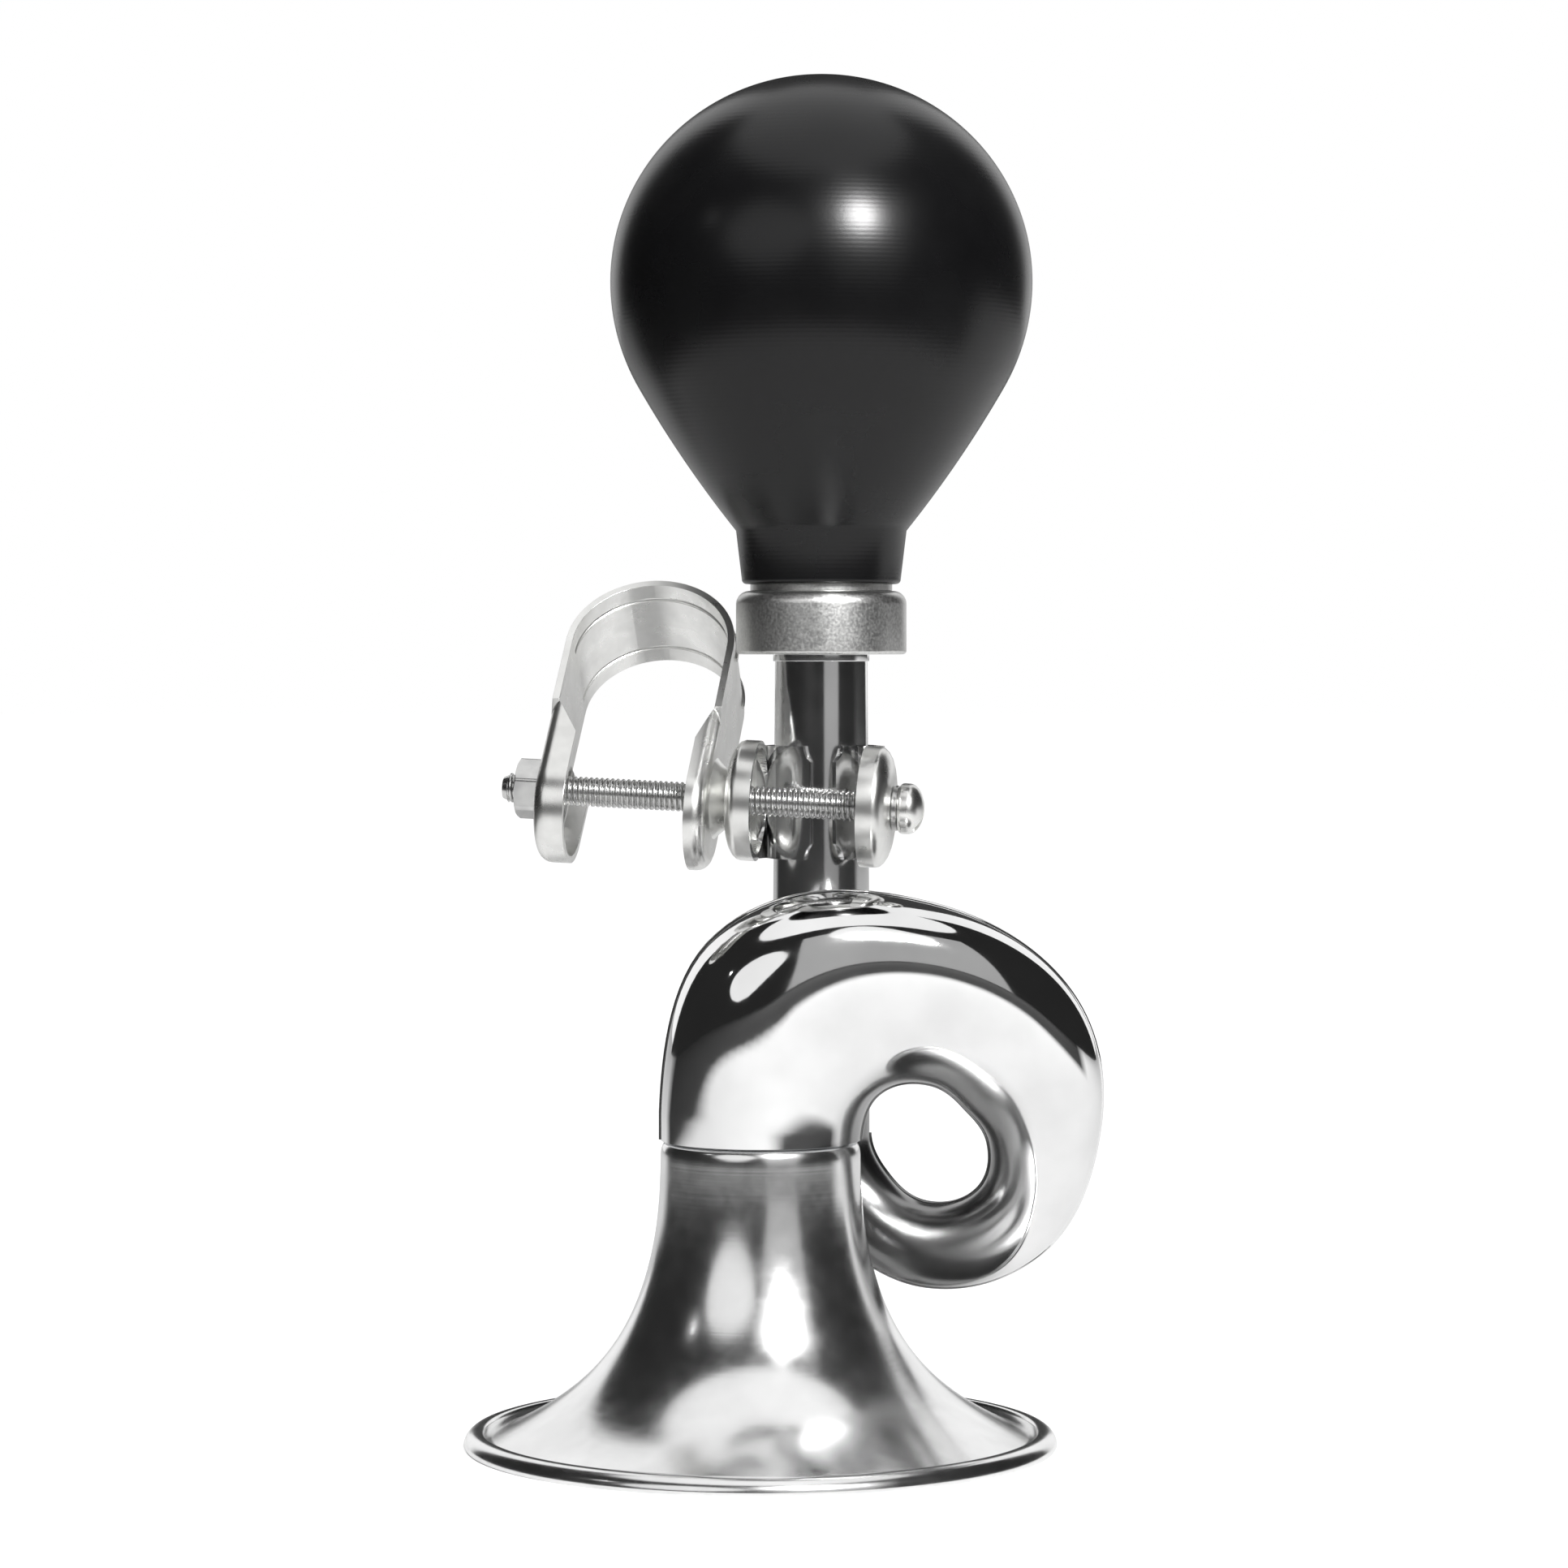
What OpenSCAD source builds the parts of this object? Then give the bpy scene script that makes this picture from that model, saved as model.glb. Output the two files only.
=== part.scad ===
// Bulb horn for a bicycle: a squeeze bulb blows a reed, and the note runs through a curled,
// widening tube to a flared bell. A double strap clamp holds the stem to a handlebar.
// Origin: centre of the bell's rim. +Z runs up the stem to the bulb, -Y faces the viewer.

/* [Bell] */
// Outer radius of the rim
rim_r = 37.5; // [36:0.5:42]
// Width of the rim's rolled lip, outside its crest
lip_w = 2; // [1.5:0.1:2.4]
// Height of the lip's crest
lip_h = 2.15; // [1.9:0.05:2.5]
// Radius of the crest's inner edge, above the groove
lip_round = 0.6; // [0.4:0.05:0.7]
// Distance from the lip's crest inwards to where the flare begins
flare_in = 1.5; // [1.3:0.1:2]
// Height of the sheet's outer face where the flare begins
flare_z = 1.2; // [1.1:0.05:1.4]
// Outer radius of the throat, where the curled tube joins
throat_r = 12.6; // [12:0.05:13.4]
// Height of the throat's upper edge above the rim
bell_h = 38.5; // [37:0.5:41]
// Height over which the flare opens out
flare_len = 9.1; // [8:0.1:10]
// Height at which the flare has run into the straight throat
flare_close = 28.8; // [26:0.2:31]
// Sheet thickness of the bell
bell_wall = 0.8; // [0.6:0.05:1.2]
// Radius of the rolled shoulder at the throat
throat_shoulder = 1.6; // [1:0.1:2.5]

/* [Curled tube] */
// Sheet thickness of the pressed half shells
curl_wall = 0.8; // [0.6:0.05:1]
// Depth of the loop's centre below the bell's upper edge
loop_drop = 0.8; // [0:0.1:2]
// Distance from the loop's centre to the tube's inner wall, low on the stem's side
gap_low_left = 7.2; // [6.8:0.1:7.8]
// The same at the bottom of the loop
gap_bottom = 8.6; // [8.2:0.1:9.2]
// The same low on the outer side
gap_low_right = 9; // [8.6:0.1:9.4]
// The same at the outer side
gap_side = 7.6; // [7.2:0.1:8.2]
// The same high on the outer side
gap_high_right = 6.6; // [6.4:0.1:7.4]
// The same at the top of the loop
gap_top = 8; // [7.6:0.1:8.6]
// The same at the tube's full shoulder
gap_shoulder = 9.4; // [9:0.1:9.8]
// The same where the tube meets the bell
gap_end = 8.8; // [8.4:0.1:9.2]
// Half width of the tube low on the stem's side
half_low_left = 5.3; // [5:0.1:5.8]
// Half width of the tube at the bottom of the loop
half_bottom = 5.4; // [5:0.1:6]
// Half width of the tube low on the outer side
half_low_right = 5.8; // [5.4:0.1:6.4]
// Half width of the tube at the outer side
half_side = 6.9; // [6.4:0.1:7.4]
// Half width of the tube high on the outer side
half_high_right = 9.8; // [9:0.1:10.4]
// Half width of the tube at the top of the loop
half_top = 11.4; // [10.8:0.1:12]
// Half width of the tube at its full shoulder, before it narrows to the bell
half_shoulder = 14.3; // [13.6:0.1:14.6]
// Half depth of the tube at its full shoulder
deep_shoulder = 11.4; // [10.8:0.1:12]
// Length of the sleeve at the lower end that slips into the bell
spigot_len = 4; // [3:0.5:6]
// Length of the socket that takes the stem
socket_len = 5; // [4:0.5:7]
// Width of the soldered seam between the half shells
seam_gap = 0.1; // [0.05:0.01:0.2]
// Width of the solder bead that covers the seam
bead_w = 0.9; // [0.6:0.1:1.4]
// Height of the solder bead
bead_h = 0.25; // [0.15:0.05:0.4]

/* [Stem] */
// Distance of the stem's axis to the right of the bell's axis
stem_x = 7.8; // [7.4:0.1:8.2]
// Outer radius of the stem under the ferrule
stem_r_top = 5.95; // [5.5:0.05:6.2]
// Outer radius of the stem at its lower end
stem_r_bottom = 6.3; // [6.25:0.05:6.6]
// Wall of the stem
stem_wall = 0.8; // [0.6:0.05:1]
// Height of the stem's lower end above the loop's centre
stem_rise = 23.3; // [22:0.1:26]
// Length of the stem between its lower end and the ferrule
stem_len = 38.9; // [36:0.1:43]
// Height of the collar under the ferrule
collar_h = 0.9; // [0.6:0.1:1.4]
// How far the collar stands out from the stem
collar_lip = 0.25; // [0.2:0.05:0.8]

/* [Ferrule and plug] */
// Outer radius of the ferrule
ferrule_r = 11.05; // [10.4:0.05:12]
// Height of the ferrule
ferrule_h = 8.2; // [7.6:0.1:10]
// Radius of the ferrule's upper edge
ferrule_round = 1.7; // [1:0.1:2]
// Thickness of the ferrule's floor
ferrule_floor = 1.3; // [1:0.1:1.8]
// Radius of the screw thread between ferrule and plug
thread_r = 8.4; // [7.8:0.05:8.6]
// Thickness of the sealing washer
gasket_h = 1; // [0.8:0.1:1.4]
// Radius of the plug's ring above the ferrule
plug_ring_r = 9.2; // [8.9:0.05:9.6]
// Height of the plug's ring
plug_ring_h = 0.8; // [0.6:0.1:1.4]
// Radius of the plug's nipple inside the bulb's neck
nipple_r = 6.8; // [6.4:0.1:7.2]
// Height of the nipple above the ring
nipple_h = 8.6; // [7:0.1:10]
// How far each barb stands out from the nipple
barb = 0.5; // [0.3:0.05:0.7]
// Radius of the air passage through the plug
air_r = 3.2; // [2.6:0.1:3.6]

/* [Reed] */
// Radius of the reed holder's head, inside the plug
reed_head_r = 4.6; // [4.3:0.05:4.8]
// Length of the head
reed_head_h = 6; // [5:0.1:6.5]
// Radius of the reed holder's tube
reed_r = 4; // [3.6:0.05:4.2]
// Length of the tube below the head
reed_len = 25; // [20:0.5:30]
// Wall of the tube
reed_wall = 1; // [0.8:0.1:1.2]
// Distance of the flat seat from the tube's axis
reed_seat = 0.6; // [0.4:0.1:0.9]
// Thickness of the floor under the seat
reed_floor = 0.8; // [0.6:0.1:1]
// Length of the solid tip
reed_tip = 2; // [1.5:0.1:3]
// Width of the seat on each side of the slot
seat_edge = 0.9; // [0.7:0.1:1.1]
// Distance from the slot's upper end to the head
slot_end = 7; // [6:0.5:9]
// Width of the tongue
tongue_w = 4.4; // [3.6:0.1:4.8]
// Thickness of the tongue
tongue_t = 0.35; // [0.25:0.05:0.5]
// How far the tongue leans off its seat, in degrees
tongue_lift = 2; // [1:0.1:2.5]
// Length of the tongue's root, held by the wedge
tongue_root = 4; // [3:0.5:5]
// Distance from the tongue's tip to the tube's end
tongue_short = 1.5; // [1:0.1:2]
// Thickness of the wedge
wedge_t = 1.4; // [1:0.1:1.6]
// How much shorter the wedge is than the tongue's root
wedge_short = 0.6; // [0.4:0.1:1]
// How much narrower the wedge is than the tongue
wedge_narrow = 0.4; // [0.2:0.1:0.8]

/* [Bulb] */
// Radius of the bulb at its widest
bulb_r = 27.3; // [25:0.1:31]
// Height of the bulb's widest ring above its lower edge
bulb_centre_h = 39; // [36:0.5:44]
// Height of the bulb's crown above the widest ring
bulb_crown_h = 26.7; // [25.5:0.1:28]
// Wall of the bulb
bulb_wall = 2.2; // [1.8:0.1:3]
// Outer radius of the neck at its lower edge
neck_r_low = 10.3; // [9.8:0.05:11]
// Outer radius of the neck at its top
neck_r_top = 11.05; // [10.6:0.05:11.5]
// Height of the neck
neck_h = 6.9; // [6:0.1:8]
// Angle below the widest ring at which the flank leaves the sphere
flank_angle = 30; // [26:1:34]
// Rounding of the neck's lower edge
neck_edge = 0.6; // [0.3:0.1:1]
// Room above the nipple before the bulb widens
neck_room = 2; // [1:0.5:4]

/* [Clamp] */
// Height of the bolt above the stem's lower end
bolt_rise = 19.8; // [19:0.1:22]
// Turn of the clamp about the stem, in degrees
clamp_turn = 9; // [0:0.5:12]
// Tilt of the bolt, in degrees
clamp_tilt = 2.7; // [0:0.1:3]
// Radius of the bolt
bolt_r = 1.9; // [1.85:0.05:2.05]
// Space between the bolt and the stem
bolt_stem_gap = 0.5; // [0.4:0.05:0.8]
// Width of the nut across its flats
nut_flats = 7; // [6.8:0.1:7.4]
// Height of the nut
nut_h = 3.3; // [2.8:0.1:3.6]
// Turn of the nut's flat up from the viewer, in degrees
nut_turn = 10; // [0:1:30]
// Length of thread that shows beyond the nut
bolt_tail = 2; // [1.5:0.1:3]
// Radius of the bolt's round head
head_r = 3.25; // [3:0.05:3.6]
// Height of the bolt's round head
head_h = 3.2; // [2.8:0.1:3.6]
// Radius of the lock washer
washer_r = 2.9; // [2.8:0.05:3.5]
// Thickness of the lock washer
washer_h = 0.7; // [0.6:0.05:1]
// Sheet thickness of both straps
strap_t = 0.9; // [0.8:0.05:1.1]
// Outer radius of the tube strap's dished ears
ear_r = 7.75; // [7.2:0.05:8]
// Depth of their cup, from the land at the bolt to the open edge
ear_depth = 3.8; // [3.4:0.1:4]
// Depth of the domed part of the cup
ear_dome = 1.9; // [1.5:0.1:2.1]
// Radius of the flat land around the bolt
land_r = 3.6; // [3.4:0.1:3.9]
// Width of the tube strap's band, along the stem
tube_band_w = 14.6; // [13:0.1:15.2]
// Half distance between the outer faces of the tube strap's ears
tube_ear_x = 10.6; // [10.2:0.1:11.4]
// Width of the tube strap's open front
front_gap = 3.2; // [2.6:0.1:3.8]
// How far the open front lies to the right of the clamp's middle
front_shift = 1.3; // [0:0.1:1.6]
// Radius of the handlebar that the large strap holds
bar_r = 10.2; // [10:0.1:11]
// Width of the handlebar strap's band, along the handlebar
bar_band_w = 14.5; // [13:0.1:15.2]
// Distance from the bolt to the handlebar's centre
bar_reach = 20; // [18:0.1:22]
// Distance from the bolt down to the centre of the ear's round end
ear_drop = 2.7; // [2.4:0.1:3.4]
// How far the land at the nut stands out beyond the loop's side
nut_side_step = 0.25; // [0.2:0.05:0.6]
// How far the land at the tube strap stands out beyond the loop's side
stem_side_step = 1.7; // [1.5:0.1:1.9]
// Depth of the handlebar strap's ears, from the land to the flange's edge
flange_depth = 4.3; // [3.8:0.1:4.6]
// Radius of the bend between leg and flange
flange_round = 1.7; // [1.2:0.1:1.9]
// Height above the bolt at which the flanges begin to narrow
flange_full = 4; // [3:0.5:5]
// Height above the bolt at which the flanges end
flange_end = 9.4; // [8:0.2:10]
// Depth of the two beads pressed into the loop
loop_bead = 0.35; // [0.2:0.05:0.5]
// Distance of each bead from the middle of the band
loop_bead_y = 4.6; // [4:0.1:5.2]
// Angle that the handlebar strap leans back, in degrees
bar_lean = 43; // [30:1:60]

/* [Fits] */
// Radial clearance of parts that turn or slide in each other
run_gap = 0.05; // [0.03:0.01:0.08]
// Clearance between faces that bear on each other
face_gap = 0.05; // [0.03:0.01:0.08]
// Clearance around the bolt in the straps' holes
bolt_hole_gap = 0.2; // [0.1:0.05:0.25]
// Room for solder between parts that are soldered together
solder_gap = 0.2; // [0.1:0.05:0.3]

/* [Hidden] */
chrome = "#c9ccd1";
satin = "#a9aaab";
zinc = "#d5d6d4";
steel = "#8d8f92";
brass = "#c9a75a";
rubber = "#1d1d1f";
fibre = "#5b4a3a";
// smoothness of true round forms
$fn = 96;
// a little extra length for cuts that pass right through
over = 1;

// points of an arc round [x, y], counterclockwise
function arc(x, y, r, from, to, step) = [for (a = [from:step:to]) [x + r * cos(a), y + r * sin(a)]];

// The tube ends straight above the bell and begins straight below the stem.
loop_x = gap_end + throat_r;
loop_z = bell_h - loop_drop;
stem_bottom_z = loop_z + stem_rise;
ferrule_z = stem_bottom_z + stem_len;
bolt_z = stem_bottom_z + bolt_rise;
start_r = stem_r_bottom;
gap_start = loop_x - stem_x - start_r;
stem_y = deep_shoulder + solder_gap + start_r;
stem_top_z = ferrule_z + ferrule_floor;
seat_z = stem_top_z + gasket_h + face_gap;
plug_ring_z = ferrule_z + ferrule_h + face_gap;
bulb_z = plug_ring_z + plug_ring_h;
bulb_centre_z = bulb_z + bulb_centre_h;
reed_z = seat_z + face_gap;

crest_r = rim_r - lip_w;
flare_r = crest_r - flare_in;
bore_r = throat_r - bell_wall;

// how sharply the flare runs into the straight throat
close_power = 5;
// radius of the bell's outer face at height z
function bell_r(z) = let(u = z - flare_z)
    throat_r + (flare_r - throat_r) * exp(-u / flare_len - pow(u / flare_close, close_power));
// the same face moved inwards by the sheet's thickness, square to the face
function bell_inner(z) = let(
        dz = 0.05,
        slope = (bell_r(z + dz) - bell_r(z)) / dz,
        n = sqrt(1 + slope * slope))
    [bell_r(z) - bell_wall / n, z + bell_wall * slope / n];

// Bell: spun sheet with a rolled lip at the rim and a rolled shoulder at the throat.
module bell() {
    // rings of the flare, which crowd together towards the rim
    steps = 30;
    crowding = 1.5;
    // the lip's widest ring, the chamfer under it and the groove inside the crest
    lip_low = 0.3;
    lip_chamfer = 0.15;
    groove_w = 0.35;
    groove_depth = 0.15;
    groove_z = flare_z - groove_depth;
    high = bell_h - throat_shoulder;
    heights = [for (i = [0:steps]) flare_z + (high - flare_z) * pow(i / steps, crowding)];
    color(chrome)
        rotate_extrude()
            polygon(concat(
                [[flare_r, 0], [rim_r - lip_chamfer, 0]],
                [for (a = [0:15:90]) [crest_r + lip_w * cos(a), lip_low + (lip_h - lip_low) * sin(a)]],
                [for (a = [30:30:90]) [crest_r - lip_round * sin(a), lip_h - lip_round + lip_round * cos(a)]],
                [[crest_r - lip_round, groove_z], [crest_r - lip_round - groove_w, groove_z]],
                [for (z = heights) [bell_r(z), z]],
                [for (a = [15:15:75]) [bore_r + bell_wall * cos(a), high + throat_shoulder * sin(a)]],
                [[bore_r, bell_h]],
                [for (i = [steps:-1:0]) bell_inner(heights[i])]));
}

// Solder: a thin ring that fills the groove between the curled tube and the bell's shoulder.
module throat_solder() {
    color(satin)
        translate([0, 0, bell_h + face_gap])
            difference() {
                cylinder(r = throat_r - solder_gap, h = solder_gap - 2 * face_gap);
                translate([0, 0, -over])
                    cylinder(r = spigot_r + run_gap, h = solder_gap + 2 * over);
            }
}

// Stations of the curled tube, one for every eighth of a turn, from the stem round to the bell:
// inner gap from the loop's centre, half width, half depth.
stations = [
    [gap_start, start_r, start_r],
    [gap_low_left, half_low_left, half_low_left],
    [gap_bottom, half_bottom, half_bottom],
    [gap_low_right, half_low_right, half_low_right],
    [gap_side, half_side, half_side],
    [gap_high_right, half_high_right, (half_side + half_high_right) / 2],
    [gap_top, half_top, (half_high_right + deep_shoulder) / 2],
    [gap_shoulder, half_shoulder, deep_shoulder],
    [gap_end, throat_r, throat_r]];

// smooth curve through four neighbouring values
function smooth(a, b, c, d, u) =
    b + 0.5 * u * (c - a + u * (2 * a - 5 * b + 4 * c - d + u * (3 * (b - c) + d - a)));
// value in column c of the stations after a turn of t degrees
function curl_value(t, c) = let(k = min(floor(t / 45), 7), u = t / 45 - k)
    smooth(stations[max(k - 1, 0)][c], stations[k][c], stations[k + 1][c], stations[min(k + 2, 8)][c], u);
// the tube swings forward from behind the bell to right above it, over three quarters of a turn
swing_turn = 270;
function curl_y(t) = t < swing_turn ? stem_y * (1 + cos(180 * t / swing_turn)) / 2 : 0;

curl_step = 7.5;
// the last ring of the loop; from there the tube runs straight down to the bell
last_turn = 352.5;
spigot_r = bore_r - 2 * run_gap;
// height of the slant between the tube's end ring and the spigot
spigot_slant = 0.02;
socket_z = stem_bottom_z + socket_len;
socket_r = start_r + run_gap + curl_wall;

// A ring is its centre, the direction out from the loop, half width, half depth and wall.
function loop_ring(t) = let(
        a = 180 + t,
        out = [cos(a), 0, sin(a)],
        half_w = curl_value(t, 1),
        reach = curl_value(t, 0) + half_w)
    [[loop_x, curl_y(t), loop_z] + reach * out, out, half_w, curl_value(t, 2), curl_wall];
function stem_ring(z, r, wall) = [[stem_x, stem_y, z], [-1, 0, 0], r, r, wall];
function bell_ring(z, r, wall) = [[0, 0, z], [-1, 0, 0], r, r, wall];

curl_rings = concat(
    [stem_ring(socket_z, socket_r, curl_wall),
     stem_ring(stem_bottom_z - curl_wall, socket_r, curl_wall),
     stem_ring(stem_bottom_z - 3 * curl_wall, start_r, curl_wall)],
    [for (t = [0:curl_step:last_turn]) loop_ring(t)],
    [bell_ring(bell_h + solder_gap, throat_r, throat_r - spigot_r + curl_wall),
     bell_ring(bell_h + solder_gap - spigot_slant, spigot_r, curl_wall),
     bell_ring(bell_h - spigot_len, spigot_r, curl_wall)]);

// One pressed half of the curled tube: side -1 is the front half, side 1 the back half.
module curl_half(side) {
    arcs = 12;
    count = 2 * (arcs + 1);
    // point j of a ring: outer wall first, then back along the inner wall
    function shell_point(ring, j) = let(
            inner = j > arcs,
            a = 180 * (inner ? count - 1 - j : j) / arcs,
            wall = inner ? ring[4] : 0)
        ring[0] + ring[1] * (ring[2] - wall) * cos(a)
            + [0, side, 0] * (seam_gap / 2 + (ring[3] - seam_gap / 2 - wall) * sin(a));
    points = [for (ring = curl_rings) for (j = [0:count - 1]) shell_point(ring, j)];
    last = (len(curl_rings) - 1) * count;
    sides = [for (i = [0:len(curl_rings) - 2]) for (j = [0:count - 1])
        let(a = i * count + j, b = i * count + (j + 1) % count) [a, b, b + count, a + count]];
    start_cap = [for (j = [0:arcs - 1]) [j, count - 1 - j, count - 2 - j, j + 1]];
    end_cap = [for (j = [0:arcs - 1]) [last + j, last + j + 1, last + count - 2 - j, last + count - 1 - j]];
    // quads are split into triangles because a tapering, turning wall isn't flat
    faces = [for (q = concat(sides, start_cap, end_cap)) each
        side > 0 ? [[q[0], q[1], q[2]], [q[0], q[2], q[3]]] : [[q[2], q[1], q[0]], [q[3], q[2], q[0]]]];
    polyhedron(points, faces);
}

module curl_front_half() {
    color(chrome)
        curl_half(-1);
}

module curl_back_half() {
    color(chrome)
        curl_half(1);
}

// Solder bead along the seam of the half shells: side 1 runs round the outside of the loop,
// side -1 round its inside.
module curl_seam(side) {
    // the bead keeps a hair clear of the curved shells on both sides of the seam
    hair = 0.03;
    rings = [for (t = [0:curl_step:last_turn]) loop_ring(t)];
    corners = [[hair, -1], [hair + bead_h, -1], [hair + bead_h, 1], [hair, 1]];
    points = [for (ring = rings) for (corner = corners)
        ring[0] + ring[1] * side * (ring[2] + corner[0]) + [0, corner[1] * bead_w / 2, 0]];
    last = (len(rings) - 1) * 4;
    quads = concat(
        [[0, 3, 2, 1], [last, last + 1, last + 2, last + 3]],
        [for (i = [0:len(rings) - 2]) for (j = [0:3])
            let(a = i * 4 + j, b = i * 4 + (j + 1) % 4) [a, b, b + 4, a + 4]]);
    faces = [for (q = quads) each
        side < 0 ? [[q[0], q[1], q[2]], [q[0], q[2], q[3]]] : [[q[2], q[1], q[0]], [q[3], q[2], q[0]]]];
    polyhedron(points, faces);
}

module curl_seam_outer() {
    color(chrome)
        curl_seam(1);
}

module curl_seam_inner() {
    color(chrome)
        curl_seam(-1);
}

// Solder: the ring that closes the socket around the stem.
module stem_solder() {
    color(satin)
        translate([stem_x, stem_y, socket_z + face_gap])
            rotate_extrude()
                polygon([[stem_r(socket_z) + run_gap, 0],
                    [socket_r, 0],
                    [stem_r(socket_z + curl_wall) + run_gap, curl_wall]]);
}

// outer radius of the stem at height z
function stem_r(z) = let(share = (z - stem_bottom_z) / (stem_top_z - stem_bottom_z))
    stem_r_bottom + (stem_r_top - stem_r_bottom) * share;

// Stem: a slightly tapered tube from the socket up through the ferrule's floor.
module stem_tube() {
    color(chrome)
        translate([stem_x, stem_y, 0])
            rotate_extrude()
                polygon([[stem_r_bottom - stem_wall, stem_bottom_z],
                    [stem_r_bottom, stem_bottom_z],
                    [stem_r_top, stem_top_z],
                    [stem_r_top - stem_wall, stem_top_z]]);
}

// Collar: the ring that the ferrule is soldered down on.
module stem_collar() {
    low_z = ferrule_z - collar_h;
    color(chrome)
        translate([stem_x, stem_y, low_z])
            difference() {
                cylinder(r = stem_r(low_z) + collar_lip, h = collar_h - face_gap);
                translate([0, 0, -over])
                    cylinder(r = stem_r(low_z) + run_gap, h = collar_h + 2 * over);
            }
}

// Ferrule: a screwed cup with a rolled upper edge, soldered to the head of the stem.
module ferrule() {
    cup_r = thread_r + run_gap;
    foot_round = 0.5;
    color(satin)
        translate([stem_x, stem_y, ferrule_z])
            rotate_extrude()
                polygon(concat(
                    [[stem_r(ferrule_z) + run_gap, 0]],
                    arc(ferrule_r - foot_round, foot_round, foot_round, -90, 0, 22.5),
                    arc(ferrule_r - ferrule_round, ferrule_h - ferrule_round, ferrule_round, 0, 90, 11.25),
                    [[cup_r, ferrule_h],
                     [cup_r, ferrule_floor],
                     [stem_r(ferrule_z) + run_gap, ferrule_floor]]));
}

// Sealing washer on the ferrule's floor.
module ferrule_gasket() {
    color(fibre)
        translate([stem_x, stem_y, stem_top_z + face_gap])
            difference() {
                cylinder(r = thread_r - 2 * run_gap, h = gasket_h - face_gap);
                translate([0, 0, -over])
                    cylinder(r = reed_head_r + run_gap, h = gasket_h + 2 * over);
            }
}

// Plug: a threaded foot, a ring that closes the ferrule and a barbed nipple for the bulb.
module bulb_plug() {
    foot_h = plug_ring_z - seat_z;
    socket_h = reed_head_h + 2 * face_gap;
    barbs = 3;
    barb_pitch = nipple_h / (barbs + 1);
    barb_h = 0.9 * barb_pitch;
    nipple_z = foot_h + plug_ring_h;
    color(brass)
        translate([stem_x, stem_y, seat_z])
            difference() {
                union() {
                    cylinder(r = thread_r, h = foot_h);
                    translate([0, 0, foot_h])
                        cylinder(r = plug_ring_r, h = plug_ring_h);
                    translate([0, 0, nipple_z])
                        cylinder(r = nipple_r, h = nipple_h);
                    for (i = [1:barbs])
                        translate([0, 0, nipple_z + i * barb_pitch])
                            cylinder(r1 = nipple_r + barb, r2 = nipple_r, h = barb_h);
                }
                translate([0, 0, -over])
                    cylinder(r = reed_head_r + run_gap, h = socket_h + over);
                translate([0, 0, -over])
                    cylinder(r = air_r, h = nipple_z + nipple_h + 2 * over);
            }
}

// Reed holder: a brass tube cut to a flat seat, with a slot that the tongue opens and closes.
module reed_holder() {
    reed_bore = reed_r - reed_wall;
    slot_w = tongue_w - 2 * seat_edge;
    // the flat seat stops a hair below the head
    hair = 0.01;
    color(brass)
        translate([stem_x, stem_y, reed_z])
            difference() {
                union() {
                    cylinder(r = reed_head_r, h = reed_head_h);
                    translate([0, 0, -reed_len])
                        difference() {
                            cylinder(r = reed_r, h = reed_len);
                            translate([-reed_r - over, -reed_r - over, -over])
                                cube([2 * (reed_r + over),
                                    reed_r + over - reed_seat,
                                    reed_len + over - hair]);
                        }
                }
                // air passage, closed at the lower tip
                translate([0, 0, reed_tip - reed_len])
                    difference() {
                        cylinder(r = reed_bore, h = reed_len + reed_head_h);
                        translate([-reed_bore - over, -reed_bore - over, -over])
                            cube([2 * (reed_bore + over),
                                reed_bore + over - reed_seat + reed_floor,
                                reed_len + over - reed_tip]);
                    }
                // slot in the flat seat
                translate([-slot_w / 2, -reed_seat - over, reed_tip - reed_len])
                    cube([slot_w, 2 * reed_wall + over, reed_len - reed_tip - slot_end]);
            }
}

// Tongue: a thin springy strip, held at its upper end and bent off its seat.
module reed_tongue() {
    free_len = reed_len - tongue_short - tongue_root;
    color(brass)
        translate([stem_x, stem_y - reed_seat - run_gap, reed_z - tongue_root])
            rotate([-tongue_lift, 0, 0])
                translate([-tongue_w / 2, -tongue_t, -free_len])
                    cube([tongue_w, tongue_t, free_len]);
}

// Wedge: the brass block that pins the tongue's root against the holder.
module reed_wedge() {
    wedge_w = tongue_w - wedge_narrow;
    wedge_h = tongue_root - wedge_short;
    color(brass)
        translate([stem_x, stem_y - reed_seat - face_gap, reed_z - wedge_h])
            translate([-wedge_w / 2, -wedge_t, 0])
                cube([wedge_w, wedge_t, wedge_h - face_gap]);
}

// Bulb: a hollow moulded rubber pear. The flank is an arc that leaves the sphere smoothly
// and ends at the top of the neck. Where the neck lies outside the sphere's tangent, the arc
// bends the other way, and its radius is negative.
flank_dir = [cos(flank_angle), -sin(flank_angle)];
neck_corner = [neck_r_top, neck_h - bulb_centre_h];
flank_extra = (neck_corner * neck_corner - bulb_r * bulb_r) / (2 * (bulb_r - neck_corner * flank_dir));
flank_r = bulb_r + flank_extra;
flank_centre = -flank_extra * flank_dir;
flank_low = let(arm = sign(flank_r) * (neck_corner - flank_centre)) -atan2(arm[1], arm[0]);

// outline of the pear from the neck's top to the crown, moved inwards by a wall
function pear(wall) = concat(
    [for (i = [0:12]) let(a = flank_low + (flank_angle - flank_low) * i / 12)
        flank_centre + (flank_r - wall) * [cos(a), -sin(a)]],
    [for (a = [-flank_angle + 5:5:0]) (bulb_r - wall) * [cos(a), sin(a)]],
    [for (a = [5:5:90]) [(bulb_r - wall) * cos(a), (bulb_crown_h - wall) * sin(a)]]);

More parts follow.
